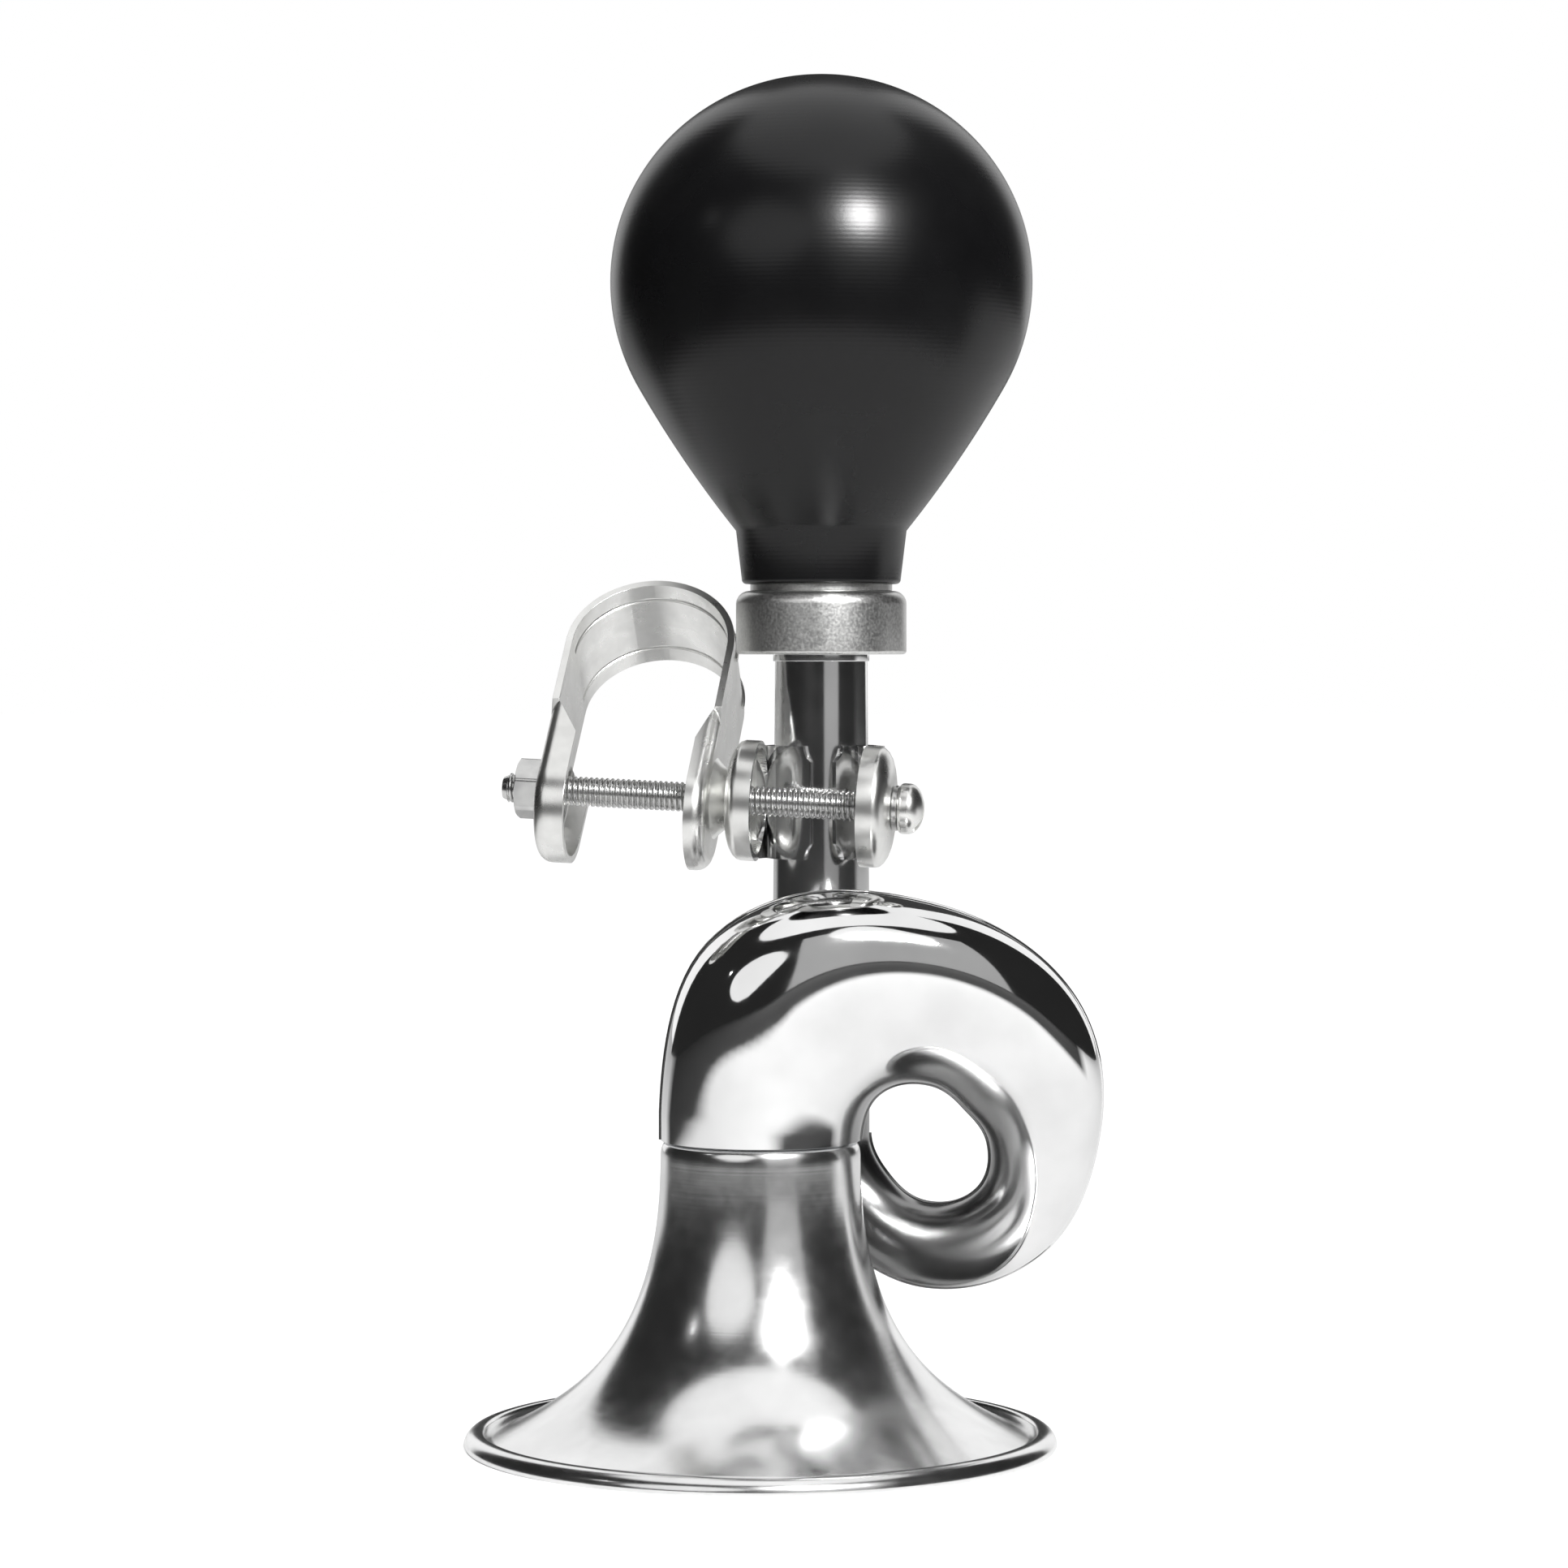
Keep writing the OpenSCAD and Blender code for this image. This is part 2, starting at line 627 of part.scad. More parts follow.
module bulb() {
    neck_bore_r = nipple_r + barb + 2 * run_gap;
    color(rubber)
        translate([stem_x, stem_y, bulb_z + face_gap])
            difference() {
                rotate_extrude()
                    polygon(concat(
                        [[0, 0], [neck_r_low - neck_edge, 0]],
                        arc(neck_r_low - neck_edge, neck_edge, neck_edge, -60, 0, 30),
                        [for (p = pear(0)) p + [0, bulb_centre_h]]));
                translate([0, 0, -over])
                    cylinder(r = neck_bore_r, h = nipple_h + neck_room + over);
                rotate_extrude()
                    polygon(concat(
                        [[0, nipple_h + neck_room / 2], [neck_bore_r, nipple_h + neck_room / 2]],
                        [for (p = pear(bulb_wall))
                            if (p[0] > neck_bore_r || p[1] > 0) p + [0, bulb_centre_h]]));
            }
}

// Frames of the clamp: on the stem at the bolt's height, and on the bolt's own axis.
bolt_y = stem_r_bottom + bolt_stem_gap + bolt_r;
module at_clamp() {
    translate([stem_x, stem_y, bolt_z])
        rotate([0, 0, -clamp_turn])
            children();
}
module at_bolt() {
    at_clamp()
        translate([0, -bolt_y, 0])
            rotate([0, clamp_tilt, 0])
                children();
}
// turns a form drawn along Z to run along the bolt, towards its head
module along_bolt(x) {
    translate([x, 0, 0])
        rotate([0, 90, 0])
            children();
}

hole_r = bolt_r + bolt_hole_gap;

// Dished ear: a round cup around the bolt, its land at x and its open side towards `to`.
module ear(x, to) {
    along_bolt(x)
        mirror([0, 0, to > 0 ? 0 : 1])
            difference() {
                rotate_extrude()
                    polygon(cup(0));
                rotate_extrude()
                    polygon(cup(strap_t));
                translate([0, 0, -over])
                    cylinder(r = hole_r, h = ear_depth + 2 * over);
            }
}
// half section of the ear's outside, or of its hollow when it is moved inwards by a wall
function cup(wall) = concat(
    [[0, wall]],
    [for (a = [0:15:90]) [land_r + (ear_r - wall - land_r) * sin(a), wall + ear_dome * (1 - cos(a))]],
    [[ear_r - wall, ear_depth + (wall > 0 ? over : 0)],
     [0, ear_depth + (wall > 0 ? over : 0)]]);

// Tube strap: a band that hugs the stem, open in front, with an ear on each side.
tube_strap_r = stem_r(bolt_z - tube_band_w / 2) + run_gap;
module tube_strap() {
    outer_r = tube_strap_r + strap_t;
    // each leg runs from the band, where it is root wide, to a web that meets the ear
    root_back = 0.6;
    root_front = 1.6;
    root_in = 0.3;
    web_share = 0.72;
    web_back = 0.4;
    web_front = 1.2;
    web_y = web_share * ear_r - bolt_y;
    web_x = tube_ear_x - ear_dome - strap_t;
    // the open front widens in a round notch above and below the bolt
    notch_r = 0.8 * front_gap;
    band_bolt_gap = 0.3;
    color(chrome) {
        at_clamp()
            difference() {
                translate([0, 0, -tube_band_w / 2])
                    linear_extrude(tube_band_w)
                        difference() {
                            union() {
                                circle(outer_r);
                                // legs that flare out to the ears
                                for (s = [-1, 1])
                                    polygon([[s * (outer_r - strap_t), 0],
                                        [s * outer_r, root_back],
                                        [s * (web_x + strap_t), web_y + web_back],
                                        [s * (web_x + strap_t), web_y - web_front],
                                        [s * web_x, web_y - web_front],
                                        [s * (outer_r - root_in), -root_front]]);
                            }
                            circle(tube_strap_r);
                            // open front
                            translate([front_shift - front_gap / 2, -outer_r - over])
                                square([front_gap, outer_r + over]);
                        }
                // the open front widens above and below the bolt
                for (s = [-1, 1])
                    translate([front_shift, 0, s * tube_band_w / 2])
                        rotate([90, 0, 0])
                            cylinder(r = notch_r, h = outer_r + over);
                // room for the bolt
                translate([0, -bolt_y, 0])
                    rotate([0, clamp_tilt, 0])
                        along_bolt(-web_x)
                            cylinder(r = bolt_r + band_bolt_gap, h = 2 * web_x);
            }
        at_bolt() {
            ear(-tube_ear_x, 1);
            ear(tube_ear_x, -1);
        }
    }
}

// Handlebar strap: a U-shaped band with two pressed beads, flanged legs and a dished ear at each end.
loop_r = bar_r + strap_t;
bar_x = -tube_ear_x - 2 * face_gap - loop_r - stem_side_step;
module bar_frame() {
    at_bolt()
        translate([bar_x, 0, 0])
            rotate([-bar_lean, 0, 0])
                children();
}

// half section of a leg with its flange, or of its hollow when it is moved inwards by a wall
function channel(depth, wall) = let(
        w = bar_band_w / 2 - flange_round,
        r = flange_round - wall,
        top = depth + (wall > 0 ? over : 0))
    concat(
        [[0, wall]],
        [for (a = [0:15:90]) [w + r * sin(a), flange_round - r * cos(a)]],
        [[w + r, top], [0, top]]);

// round cup at the leg's lower end and the straight channel above it
module channel_form(depth, wall) {
    translate([-ear_drop, 0, 0]) {
        rotate([0, 0, 90])
            rotate_extrude(angle = 180)
                polygon(channel(depth, wall));
        for (s = [0, 1])
            mirror([0, s, 0])
                rotate([90, 0, 90])
                    linear_extrude(ear_drop + flange_end + plate_lap)
                        polygon(channel(depth, wall));
    }
}

// how far the flat plate and the flanged channel run into each other
plate_lap = 2;
// how far a solid piece runs into the next one that it is joined to
joint_lap = 0.1;

// side 1 is the leg next to the tube strap, side -1 the one at the nut
module leg(side, step) {
    depth = flange_depth - step;
    slope = atan2(depth - strap_t, flange_end - flange_full);
    half_w = bar_band_w / 2;
    mirror([side > 0 ? 0 : 1, 0, 0])
        translate([loop_r + step, 0, 0])
            rotate([0, -90, 0])
                difference() {
                    union() {
                        // cup and flanges, which end in a slant
                        translate([0, 0, step])
                            difference() {
                                channel_form(depth, 0);
                                channel_form(depth, strap_t);
                                translate([flange_full, -half_w - over, depth])
                                    rotate([0, slope, 0])
                                        cube([2 * bar_reach, bar_band_w + 2 * over, 2 * flange_depth]);
                            }
                        // flat plate that widens to the band and runs up to the loop
                        translate([0, 0, step])
                            linear_extrude(strap_t)
                                polygon([[flange_end - plate_lap, flange_round - half_w],
                                    [flange_end, -half_w],
                                    [bar_reach, -half_w],
                                    [bar_reach, half_w],
                                    [flange_end, half_w],
                                    [flange_end - plate_lap, half_w - flange_round]]);
                        // land that bears on the nut or on the next ear
                        cylinder(r1 = land_r, r2 = land_r + step, h = step + joint_lap);
                    }
                    // pressed dish behind the land, and the bolt's hole
                    translate([0, 0, strap_t])
                        cylinder(r1 = land_r - strap_t / 2, r2 = land_r + step, h = step + over);
                    translate([0, 0, -over])
                        cylinder(r = hole_r, h = strap_t + step + 2 * over);
                }
}

module handlebar_strap() {
    bead_sides = 24;
    color(zinc)
        bar_frame() {
            leg(1, stem_side_step);
            leg(-1, nut_side_step);
            translate([0, 0, bar_reach])
                rotate([90, 0, 0])
                    rotate_extrude(angle = 180)
                        difference() {
                            union() {
                                translate([bar_r, -bar_band_w / 2])
                                    square([strap_t, bar_band_w]);
                                for (s = [-1, 1])
                                    translate([bar_r + strap_t, s * loop_bead_y])
                                        circle(loop_bead, $fn = bead_sides);
                            }
                            for (s = [-1, 1])
                                translate([bar_r, s * loop_bead_y])
                                    circle(loop_bead, $fn = bead_sides);
                        }
        }
}

// Bolt: one long screw that pins both straps; its thread is drawn as a plain round.
head_x = tube_ear_x + face_gap + washer_h + face_gap;
nut_x = bar_x - loop_r - nut_side_step - face_gap;
tail_x = nut_x - nut_h - bolt_tail;
module clamp_bolt() {
    slot_w = 0.9;
    slot_h = 1.1;
    point_h = 0.7;
    head_edge = 0.6;
    head_dome = 2;
    color(steel)
        at_bolt()
            difference() {
                union() {
                    along_bolt(tail_x)
                        cylinder(r1 = bolt_r - point_h, r2 = bolt_r, h = point_h);
                    along_bolt(tail_x + point_h)
                        cylinder(r = bolt_r, h = head_x - tail_x - point_h + joint_lap);
                    along_bolt(head_x)
                        rotate_extrude()
                            polygon(concat(
                                [[0, 0], [head_r - head_edge, 0]],
                                arc(head_r - head_edge, head_edge, head_edge, -60, 0, 30),
                                [for (a = [0:15:90])
                                    [head_r * cos(a), head_h - head_dome + head_dome * sin(a)]]));
                }
                translate([head_x + head_h - slot_h, -head_r - over, -slot_w / 2])
                    cube([slot_h + over, 2 * (head_r + over), slot_w]);
            }
}

// Lock washer: a split ring under the bolt's head.
module lock_washer() {
    split = 0.6;
    color(steel)
        at_bolt()
            along_bolt(tube_ear_x + face_gap)
                difference() {
                    cylinder(r = washer_r, h = washer_h);
                    translate([0, 0, -over])
                        cylinder(r = bolt_r + run_gap, h = washer_h + 2 * over);
                    translate([0, -split / 2, -over])
                        cube([washer_r + over, split, washer_h + 2 * over]);
                }
}

// Nut: a hexagon with chamfered corners, one flat towards the viewer.
module clamp_nut() {
    corner_r = nut_flats / sqrt(3);
    // the chamfer's cone starts inside the corners and runs out past them
    cone_in = 0.5;
    cone_out = 0.3;
    cone_h = 0.5;
    color(zinc)
        at_bolt()
            along_bolt(nut_x - nut_h)
                difference() {
                    intersection() {
                        rotate([0, 0, nut_turn])
                            cylinder(r = corner_r, h = nut_h, $fn = 6);
                        rotate_extrude()
                            polygon([[0, 0],
                                [corner_r - cone_in, 0],
                                [corner_r + cone_out, cone_h],
                                [corner_r + cone_out, nut_h - cone_h],
                                [corner_r - cone_in, nut_h],
                                [0, nut_h]]);
                    }
                    translate([0, 0, -over])
                        cylinder(r = bolt_r + run_gap, h = nut_h + 2 * over);
                }
}

bell();
throat_solder();
curl_front_half();
curl_back_half();
curl_seam_outer();
curl_seam_inner();
stem_solder();
stem_tube();
stem_collar();
ferrule();
ferrule_gasket();
reed_holder();
reed_wedge();
reed_tongue();
bulb_plug();
bulb();
tube_strap();
handlebar_strap();
clamp_bolt();
lock_washer();
clamp_nut();
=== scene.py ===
from math import atan2, cos, degrees, pi, radians, sin, sqrt
import bmesh
import bpy
from mathutils import Matrix, Vector


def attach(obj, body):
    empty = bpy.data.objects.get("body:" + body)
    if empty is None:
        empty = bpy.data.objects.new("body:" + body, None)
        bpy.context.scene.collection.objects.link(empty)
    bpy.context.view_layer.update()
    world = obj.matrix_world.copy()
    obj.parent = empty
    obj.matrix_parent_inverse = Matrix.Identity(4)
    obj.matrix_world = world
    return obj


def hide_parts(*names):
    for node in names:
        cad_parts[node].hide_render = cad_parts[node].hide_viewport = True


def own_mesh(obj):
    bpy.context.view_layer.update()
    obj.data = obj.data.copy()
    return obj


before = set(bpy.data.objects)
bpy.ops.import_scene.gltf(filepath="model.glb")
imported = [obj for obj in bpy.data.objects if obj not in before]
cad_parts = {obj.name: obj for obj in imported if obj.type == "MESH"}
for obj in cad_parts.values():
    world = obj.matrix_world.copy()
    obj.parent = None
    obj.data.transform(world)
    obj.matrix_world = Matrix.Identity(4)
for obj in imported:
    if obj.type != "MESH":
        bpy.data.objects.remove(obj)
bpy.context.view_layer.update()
print("frame loaded:", len(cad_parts), "CAD nodes")

mm = 0.001  # every size below is in millimetres, as on the drawing


# small tools

def linearColour(code):
    # sRGB hex to the linear values that shaders use
    parts = [int(code[i:i + 2], 16) / 255 for i in (1, 3, 5)]
    return tuple(c / 12.92 if c <= 0.04045 else ((c + 0.055) / 1.055) ** 2.4 for c in parts) + (1.0,)


def addNode(tree, kind, inputs=None, stops=(), **settings):
    # inputs maps a socket's name or number to a value, to another node's output or to a node, which
    # stands for its first output; stops are the places and colours of a colour ramp
    node = tree.nodes.new(kind)
    for name, value in settings.items():
        setattr(node, name, value)
    for key, value in (inputs or {}).items():
        if isinstance(value, bpy.types.Node):
            value = value.outputs[0]
        if isinstance(value, bpy.types.NodeSocket):
            tree.links.new(value, node.inputs[key])
        else:
            node.inputs[key].default_value = value
    for i, (place, code) in enumerate(stops):
        node.color_ramp.elements[i].position = place
        node.color_ramp.elements[i].color = linearColour(code)
    return node


def addFormula(tree, values, steps):
    # each step names its result, its operation and the values or numbers that go in
    for name, operation, *terms in steps:
        inputs = {i: values.get(term, term) for i, term in enumerate(terms)}
        values[name] = addNode(tree, "ShaderNodeMath", inputs, operation=operation)


def addObject(name, data):
    item = bpy.data.objects.new(name, data)
    bpy.context.scene.collection.objects.link(item)
    return item


def meshFrom(name, points, edges, faces):
    mesh = bpy.data.meshes.new(name)
    mesh.from_pydata(points, edges, faces)
    return mesh


def plainMesh(item):
    # what an object's modifiers make, as a mesh of its own
    return bpy.data.meshes.new_from_object(item.evaluated_get(bpy.context.evaluated_depsgraph_get()))


def arc(centreR, centreZ, radius, fromAngle, toAngle, steps, height=None):
    # points of a circle, or of an ellipse of the given height, on a turned part's outline
    high = radius if height is None else height
    angles = [radians(fromAngle + (toAngle - fromAngle) * i / steps) for i in range(steps + 1)]
    return [(centreR + radius * cos(a), centreZ + high * sin(a)) for a in angles]


def outlineMesh(name, points):
    # a closed outline drawn as radius and height, in the XY plane, as vertices and edges alone
    edges = [(i, (i + 1) % len(points)) for i in range(len(points))]
    return meshFrom(name, [(r * mm, z * mm, 0) for r, z in points], edges, [])


def finishMesh(mesh, sharpAngle=35):
    # doubles merged, faces outward, smooth with crisp edges
    work = bmesh.new()
    work.from_mesh(mesh)
    bmesh.ops.remove_doubles(work, verts=work.verts, dist=1e-6)
    bmesh.ops.dissolve_degenerate(work, edges=work.edges, dist=1e-7)
    bmesh.ops.recalc_face_normals(work, faces=work.faces)
    if work.calc_volume(signed=True) < 0:
        bmesh.ops.reverse_faces(work, faces=work.faces)
    work.to_mesh(mesh)
    work.free()
    mesh.shade_smooth()
    mesh.set_sharp_from_angle(angle=radians(sharpAngle))


def addPiece(name, mesh, material, body, nodes):
    piece = addObject(name, mesh)
    mesh.materials.clear()
    mesh.materials.append(material)
    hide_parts(*nodes)
    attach(piece, body)
    return piece


def inputId(group, name):
    return next(item.identifier for item in group.interface.items_tree
                if item.item_type == "SOCKET" and item.in_out == "INPUT" and item.name == name)


def growMesh(name, base, group, values):
    # runs a Geometry Nodes tree on a mesh and returns the result as a plain mesh
    carrier = addObject(name, base)
    modifier = carrier.modifiers.new(name, "NODES")
    modifier.node_group = group
    for key, value in values.items():
        modifier[inputId(group, key)] = value
    mesh = plainMesh(carrier)
    carrier.modifiers.remove(modifier)
    bpy.data.objects.remove(carrier)
    return mesh


def newTree(name, lengths, counts):
    # a Geometry Nodes tree with named inputs: lengths, whole numbers and the material
    tree = bpy.data.node_groups.new(name, "GeometryNodeTree")
    sockets = [("Geometry", "Geometry")] + [(label, "Float") for label in lengths]
    sockets += [(label, "Int") for label in counts] + [("Material", "Material")]
    for label, kind in sockets:
        tree.interface.new_socket(label, in_out="INPUT", socket_type="NodeSocket" + kind)
    tree.interface.new_socket("Geometry", in_out="OUTPUT", socket_type="NodeSocketGeometry")
    given = addNode(tree, "NodeGroupInput")
    return tree, {socket.name: socket for socket in given.outputs}


def closeTree(tree, geometry, material):
    real = addNode(tree, "GeometryNodeRealizeInstances", {0: geometry})
    painted = addNode(tree, "GeometryNodeSetMaterial", {"Geometry": real, "Material": material})
    addNode(tree, "NodeGroupOutput", {0: painted})


def newMaterial(name):
    material = bpy.data.materials.new(name)
    material.use_nodes = True
    material.node_tree.nodes.clear()
    return material, material.node_tree


def closeMaterial(material, surface):
    tree = material.node_tree
    shader = addNode(tree, "ShaderNodeBsdfPrincipled", surface)
    addNode(tree, "ShaderNodeOutputMaterial", {"Surface": shader})
    return material


# finishes

noiseSpan = {"From Min": 0.3, "From Max": 0.7}  # nearly all values of a noise lie between these


def chromePlate(name, roughness, haze=0.02, spunLines=0.0, dullAndPaintedShade=None):
    # bright chrome on polished brass: a near white metal; the sheet was spun or pressed,
    # so its colour wavers a little over about 9 mm and its gloss over 2.5 mm, and faint lines run
    # round the spun bell;
    # the places given in the last argument are painted grey as shade inside the loop and behind the bell, and
    # are made rougher there, where no polishing wheel reaches
    material, tree = newMaterial(name)
    place = addNode(tree, "ShaderNodeTexCoord").outputs["Object"]
    cloud = addNode(tree, "ShaderNodeTexNoise", {"Vector": place, "Scale": 1 / (9 * mm), "Detail": 3.0})
    tint = addNode(tree, "ShaderNodeValToRGB", {"Fac": cloud}, [(0.35, "#e8e8e8"), (0.7, "#f3f3f3")])
    grit = addNode(tree, "ShaderNodeTexNoise", {"Vector": place, "Scale": 1 / (2.5 * mm), "Detail": 4.0})
    rough = addNode(tree, "ShaderNodeMapRange", {
        **noiseSpan, "Value": grit, "To Min": roughness, "To Max": roughness + haze})
    surface = {"Metallic": 1.0, "Base Color": tint, "Roughness": rough}
    if dullAndPaintedShade:
        level = addNode(tree, "ShaderNodeVectorMath", {0: place, 1: (1, 0, 1)}, operation="MULTIPLY")
        paintedShadeShare = 0.0
        for x, z, near, far in dullAndPaintedShade["places"]:
            away = addNode(tree, "ShaderNodeVectorMath", {0: level, 1: (x * mm, 0, z * mm)},
                           operation="DISTANCE")
            spot = addNode(tree, "ShaderNodeMapRange", {
                "Value": away.outputs["Value"], "From Min": near * mm, "From Max": far * mm,
                "To Min": 1.0, "To Max": 0.0}, interpolation_type="SMOOTHSTEP")
            paintedShadeShare = addNode(tree, "ShaderNodeMath", {0: spot, 1: paintedShadeShare}, operation="MAXIMUM")
        # painted shade: in these places the chrome's colour is mixed with grey
        surface["Base Color"] = addNode(tree, "ShaderNodeMix", {
            "Factor": paintedShadeShare, 6: tint, 7: linearColour(dullAndPaintedShade["colour"])}, data_type="RGBA").outputs[2]
        surface["Roughness"] = addNode(tree, "ShaderNodeMix", {
            "Factor": paintedShadeShare, 2: rough, 3: dullAndPaintedShade["roughness"]})
    if spunLines:
        # tool lines 0.45 mm apart; real ones are finer, and these are as coarse as they need to be to show
        height = addNode(tree, "ShaderNodeSeparateXYZ", {"Vector": place}).outputs["Z"]
        line = addNode(tree, "ShaderNodeTexNoise", {"W": height, "Scale": 1 / (0.45 * mm), "Detail": 2.0},
                       noise_dimensions="1D")
        surface["Normal"] = addNode(tree, "ShaderNodeBump", {
            "Height": line, "Strength": 1.0, "Distance": spunLines * mm})
    return closeMaterial(material, surface)


def satinNickel(name, roughness):
    # bead-blasted nickel on the ferrule: soft grey metal with a fine even grain;
    # the real grain is about 0.2 mm, and it is drawn at 0.35 mm so that it shows
    material, tree = newMaterial(name)
    place = addNode(tree, "ShaderNodeTexCoord").outputs["Object"]
    grain = addNode(tree, "ShaderNodeTexNoise", {"Vector": place, "Scale": 1 / (0.35 * mm), "Detail": 2.0})
    tint = addNode(tree, "ShaderNodeValToRGB", {"Fac": grain}, [(0.3, "#d0d0cf"), (0.72, "#e4e4e2")])
    rough = addNode(tree, "ShaderNodeMapRange", {
        **noiseSpan, "Value": grain, "To Min": roughness - 0.04, "To Max": roughness + 0.06})
    bump = addNode(tree, "ShaderNodeBump", {"Height": grain, "Strength": 1.0, "Distance": 0.012 * mm})
    return closeMaterial(material, {"Metallic": 1.0, "Base Color": tint, "Roughness": rough, "Normal": bump})


def paleMetal(name, light, dark, roughness):
    # bright zinc on pressed steel, and solder: pale metal, a little cloudy, with rubbed patches of about
    # 4 mm that are lighter and smoother, and a slight grain of 0.6 mm
    material, tree = newMaterial(name)
    place = addNode(tree, "ShaderNodeTexCoord").outputs["Object"]
    patch = addNode(tree, "ShaderNodeTexNoise", {"Vector": place, "Scale": 1 / (4 * mm), "Detail": 2.5,
                                                 "Roughness": 0.6})
    tint = addNode(tree, "ShaderNodeValToRGB", {"Fac": patch}, [(0.32, dark), (0.66, light)])
    rough = addNode(tree, "ShaderNodeMapRange", {
        **noiseSpan, "Value": patch, "To Min": roughness + 0.05, "To Max": roughness - 0.01})
    grain = addNode(tree, "ShaderNodeTexNoise", {"Vector": place, "Scale": 1 / (0.6 * mm), "Detail": 2.0})
    bump = addNode(tree, "ShaderNodeBump", {"Height": grain, "Strength": 1.0, "Distance": 0.0015 * mm})
    return closeMaterial(material, {"Metallic": 1.0, "Base Color": tint, "Roughness": rough, "Normal": bump})


def mouldedRubber(name):
    # natural rubber filled with carbon black, moulded: satin, slightly dusty in patches of about 14 mm,
    # with rings 0.55 mm apart from the turned mould and a skin of 0.5 mm, both coarse enough to show
    material, tree = newMaterial(name)
    place = addNode(tree, "ShaderNodeTexCoord").outputs["Object"]
    dust = addNode(tree, "ShaderNodeTexNoise", {"Vector": place, "Scale": 1 / (14 * mm), "Detail": 5.0})
    tint = addNode(tree, "ShaderNodeValToRGB", {"Fac": dust}, [(0.35, "#0b0b0c"), (0.7, "#111112")])
    rough = addNode(tree, "ShaderNodeMapRange", {**noiseSpan, "Value": dust, "To Min": 0.25, "To Max": 0.29})
    skin = addNode(tree, "ShaderNodeTexNoise", {"Vector": place, "Scale": 1 / (0.5 * mm), "Detail": 3.0})
    height = addNode(tree, "ShaderNodeSeparateXYZ", {"Vector": place}).outputs["Z"]
    values = {"height": height, "skin": skin}
    addFormula(tree, values, [
        ("turns", "MULTIPLY", "height", 2 * pi / (0.55 * mm)),
        ("ring", "SINE", "turns"),
        ("faintRing", "MULTIPLY", "ring", 0.3),
        ("relief", "ADD", "skin", "faintRing"),
    ])
    bump = addNode(tree, "ShaderNodeBump", {
        "Height": values["relief"], "Strength": 1.0, "Distance": 0.004 * mm})
    # the fine moulded skin scatters part of the gloss, so its specular level is low
    return closeMaterial(material, {"IOR": 1.52, "Specular IOR Level": 0.32, "Base Color": tint,
                                    "Roughness": rough, "Normal": bump})


def turnedBrass(name, light, dark, roughness):
    # turned or drawn brass and bronze: yellow metal with faint tool lines 0.3 mm apart
    material, tree = newMaterial(name)
    place = addNode(tree, "ShaderNodeTexCoord").outputs["Object"]
    height = addNode(tree, "ShaderNodeSeparateXYZ", {"Vector": place}).outputs["Z"]
    line = addNode(tree, "ShaderNodeTexNoise", {"W": height, "Scale": 1 / (0.3 * mm), "Detail": 2.0},
                   noise_dimensions="1D")
    tint = addNode(tree, "ShaderNodeValToRGB", {"Fac": line}, [(0, dark), (1, light)])
    rough = addNode(tree, "ShaderNodeMapRange", {
        "Value": line, "To Min": roughness - 0.05, "To Max": roughness + 0.1})
    bump = addNode(tree, "ShaderNodeBump", {"Height": line, "Strength": 1.0, "Distance": 0.004 * mm})
    return closeMaterial(material, {"Metallic": 1.0, "Base Color": tint, "Roughness": rough, "Normal": bump})


def vulcanFibre(name):
    # pressed vulcanised fibre: dull red brown sheet with short pale fibres about 1 mm long
    material, tree = newMaterial(name)
    place = addNode(tree, "ShaderNodeTexCoord").outputs["Object"]
    fibre = addNode(tree, "ShaderNodeTexNoise", {"Vector": place, "Scale": 1 / (1 * mm), "Detail": 6.0})
    tint = addNode(tree, "ShaderNodeValToRGB", {"Fac": fibre}, [(0, "#4b352b"), (1, "#7d6150")])
    bump = addNode(tree, "ShaderNodeBump", {"Height": fibre, "Strength": 1.0, "Distance": 0.03 * mm})
    return closeMaterial(material, {"Roughness": 0.75, "Base Color": tint, "Normal": bump})


spunChrome = chromePlate("spunChromePlate", 0.17, haze=0.05, spunLines=0.002)
pressedChrome = chromePlate("pressedChromePlate", 0.05, haze=0.03, dullAndPaintedShade={
    # x, z, inner and outer radius of the places painted darker grey as shade and made rougher: inside the
    # loop, and behind the bell
    "places": [(21.4, 37.7, 9.2, 13.5), (15, 22.5, 9, 19)], "colour": "#8f8f8f", "roughness": 0.24})
drawnChrome = chromePlate("drawnChromePlate", 0.13)
ferruleNickel = satinNickel("beadBlastedNickel", 0.36)
brightZinc = paleMetal("brightZincPlate", "#f0f0ee", "#e2e2e0", 0.27)
blackRubber = mouldedRubber("mouldedRubber")
boltSteel = paleMetal("zincedBoltSteel", "#d6d6d5", "#bababa", 0.22)
softSolder = paleMetal("tinLeadSolder", "#d9dadb", "#b4b6b8", 0.16)
plainBrass = turnedBrass("turnedBrass", "#dcc07a", "#b8954a", 0.3)
springBronze = turnedBrass("rolledPhosphorBronze", "#d9ae7c", "#b98a58", 0.25)
fibreSeal = vulcanFibre("vulcanisedFibre")
print("finishes made:", len(bpy.data.materials))


# turned parts

def revolve(tree, outline, steps):
    # sweeps an outline round a thin core circle, which makes a turned part about Z
    core = addNode(tree, "GeometryNodeCurvePrimitiveCircle", {"Resolution": steps, "Radius": 1 * mm})
    moved = addNode(tree, "GeometryNodeTransform", {
        "Geometry": outline, "Translation": (-1 * mm, 0, 0), "Scale": (1, -1, 1)})
    curve = addNode(tree, "GeometryNodeMeshToCurve", {"Mesh": moved})
    swept = addNode(tree, "GeometryNodeCurveToMesh", {"Curve": core, "Profile Curve": curve})
    return addNode(tree, "GeometryNodeMergeByDistance", {"Geometry": swept, "Distance": 1e-6})


def makeTurnedTree():
    tree, given = newTree("turnedPart", [], ["Steps"])
    turned = revolve(tree, given["Geometry"], given["Steps"])
    closeTree(tree, turned, given["Material"])
    return tree


turnedTree = makeTurnedTree()


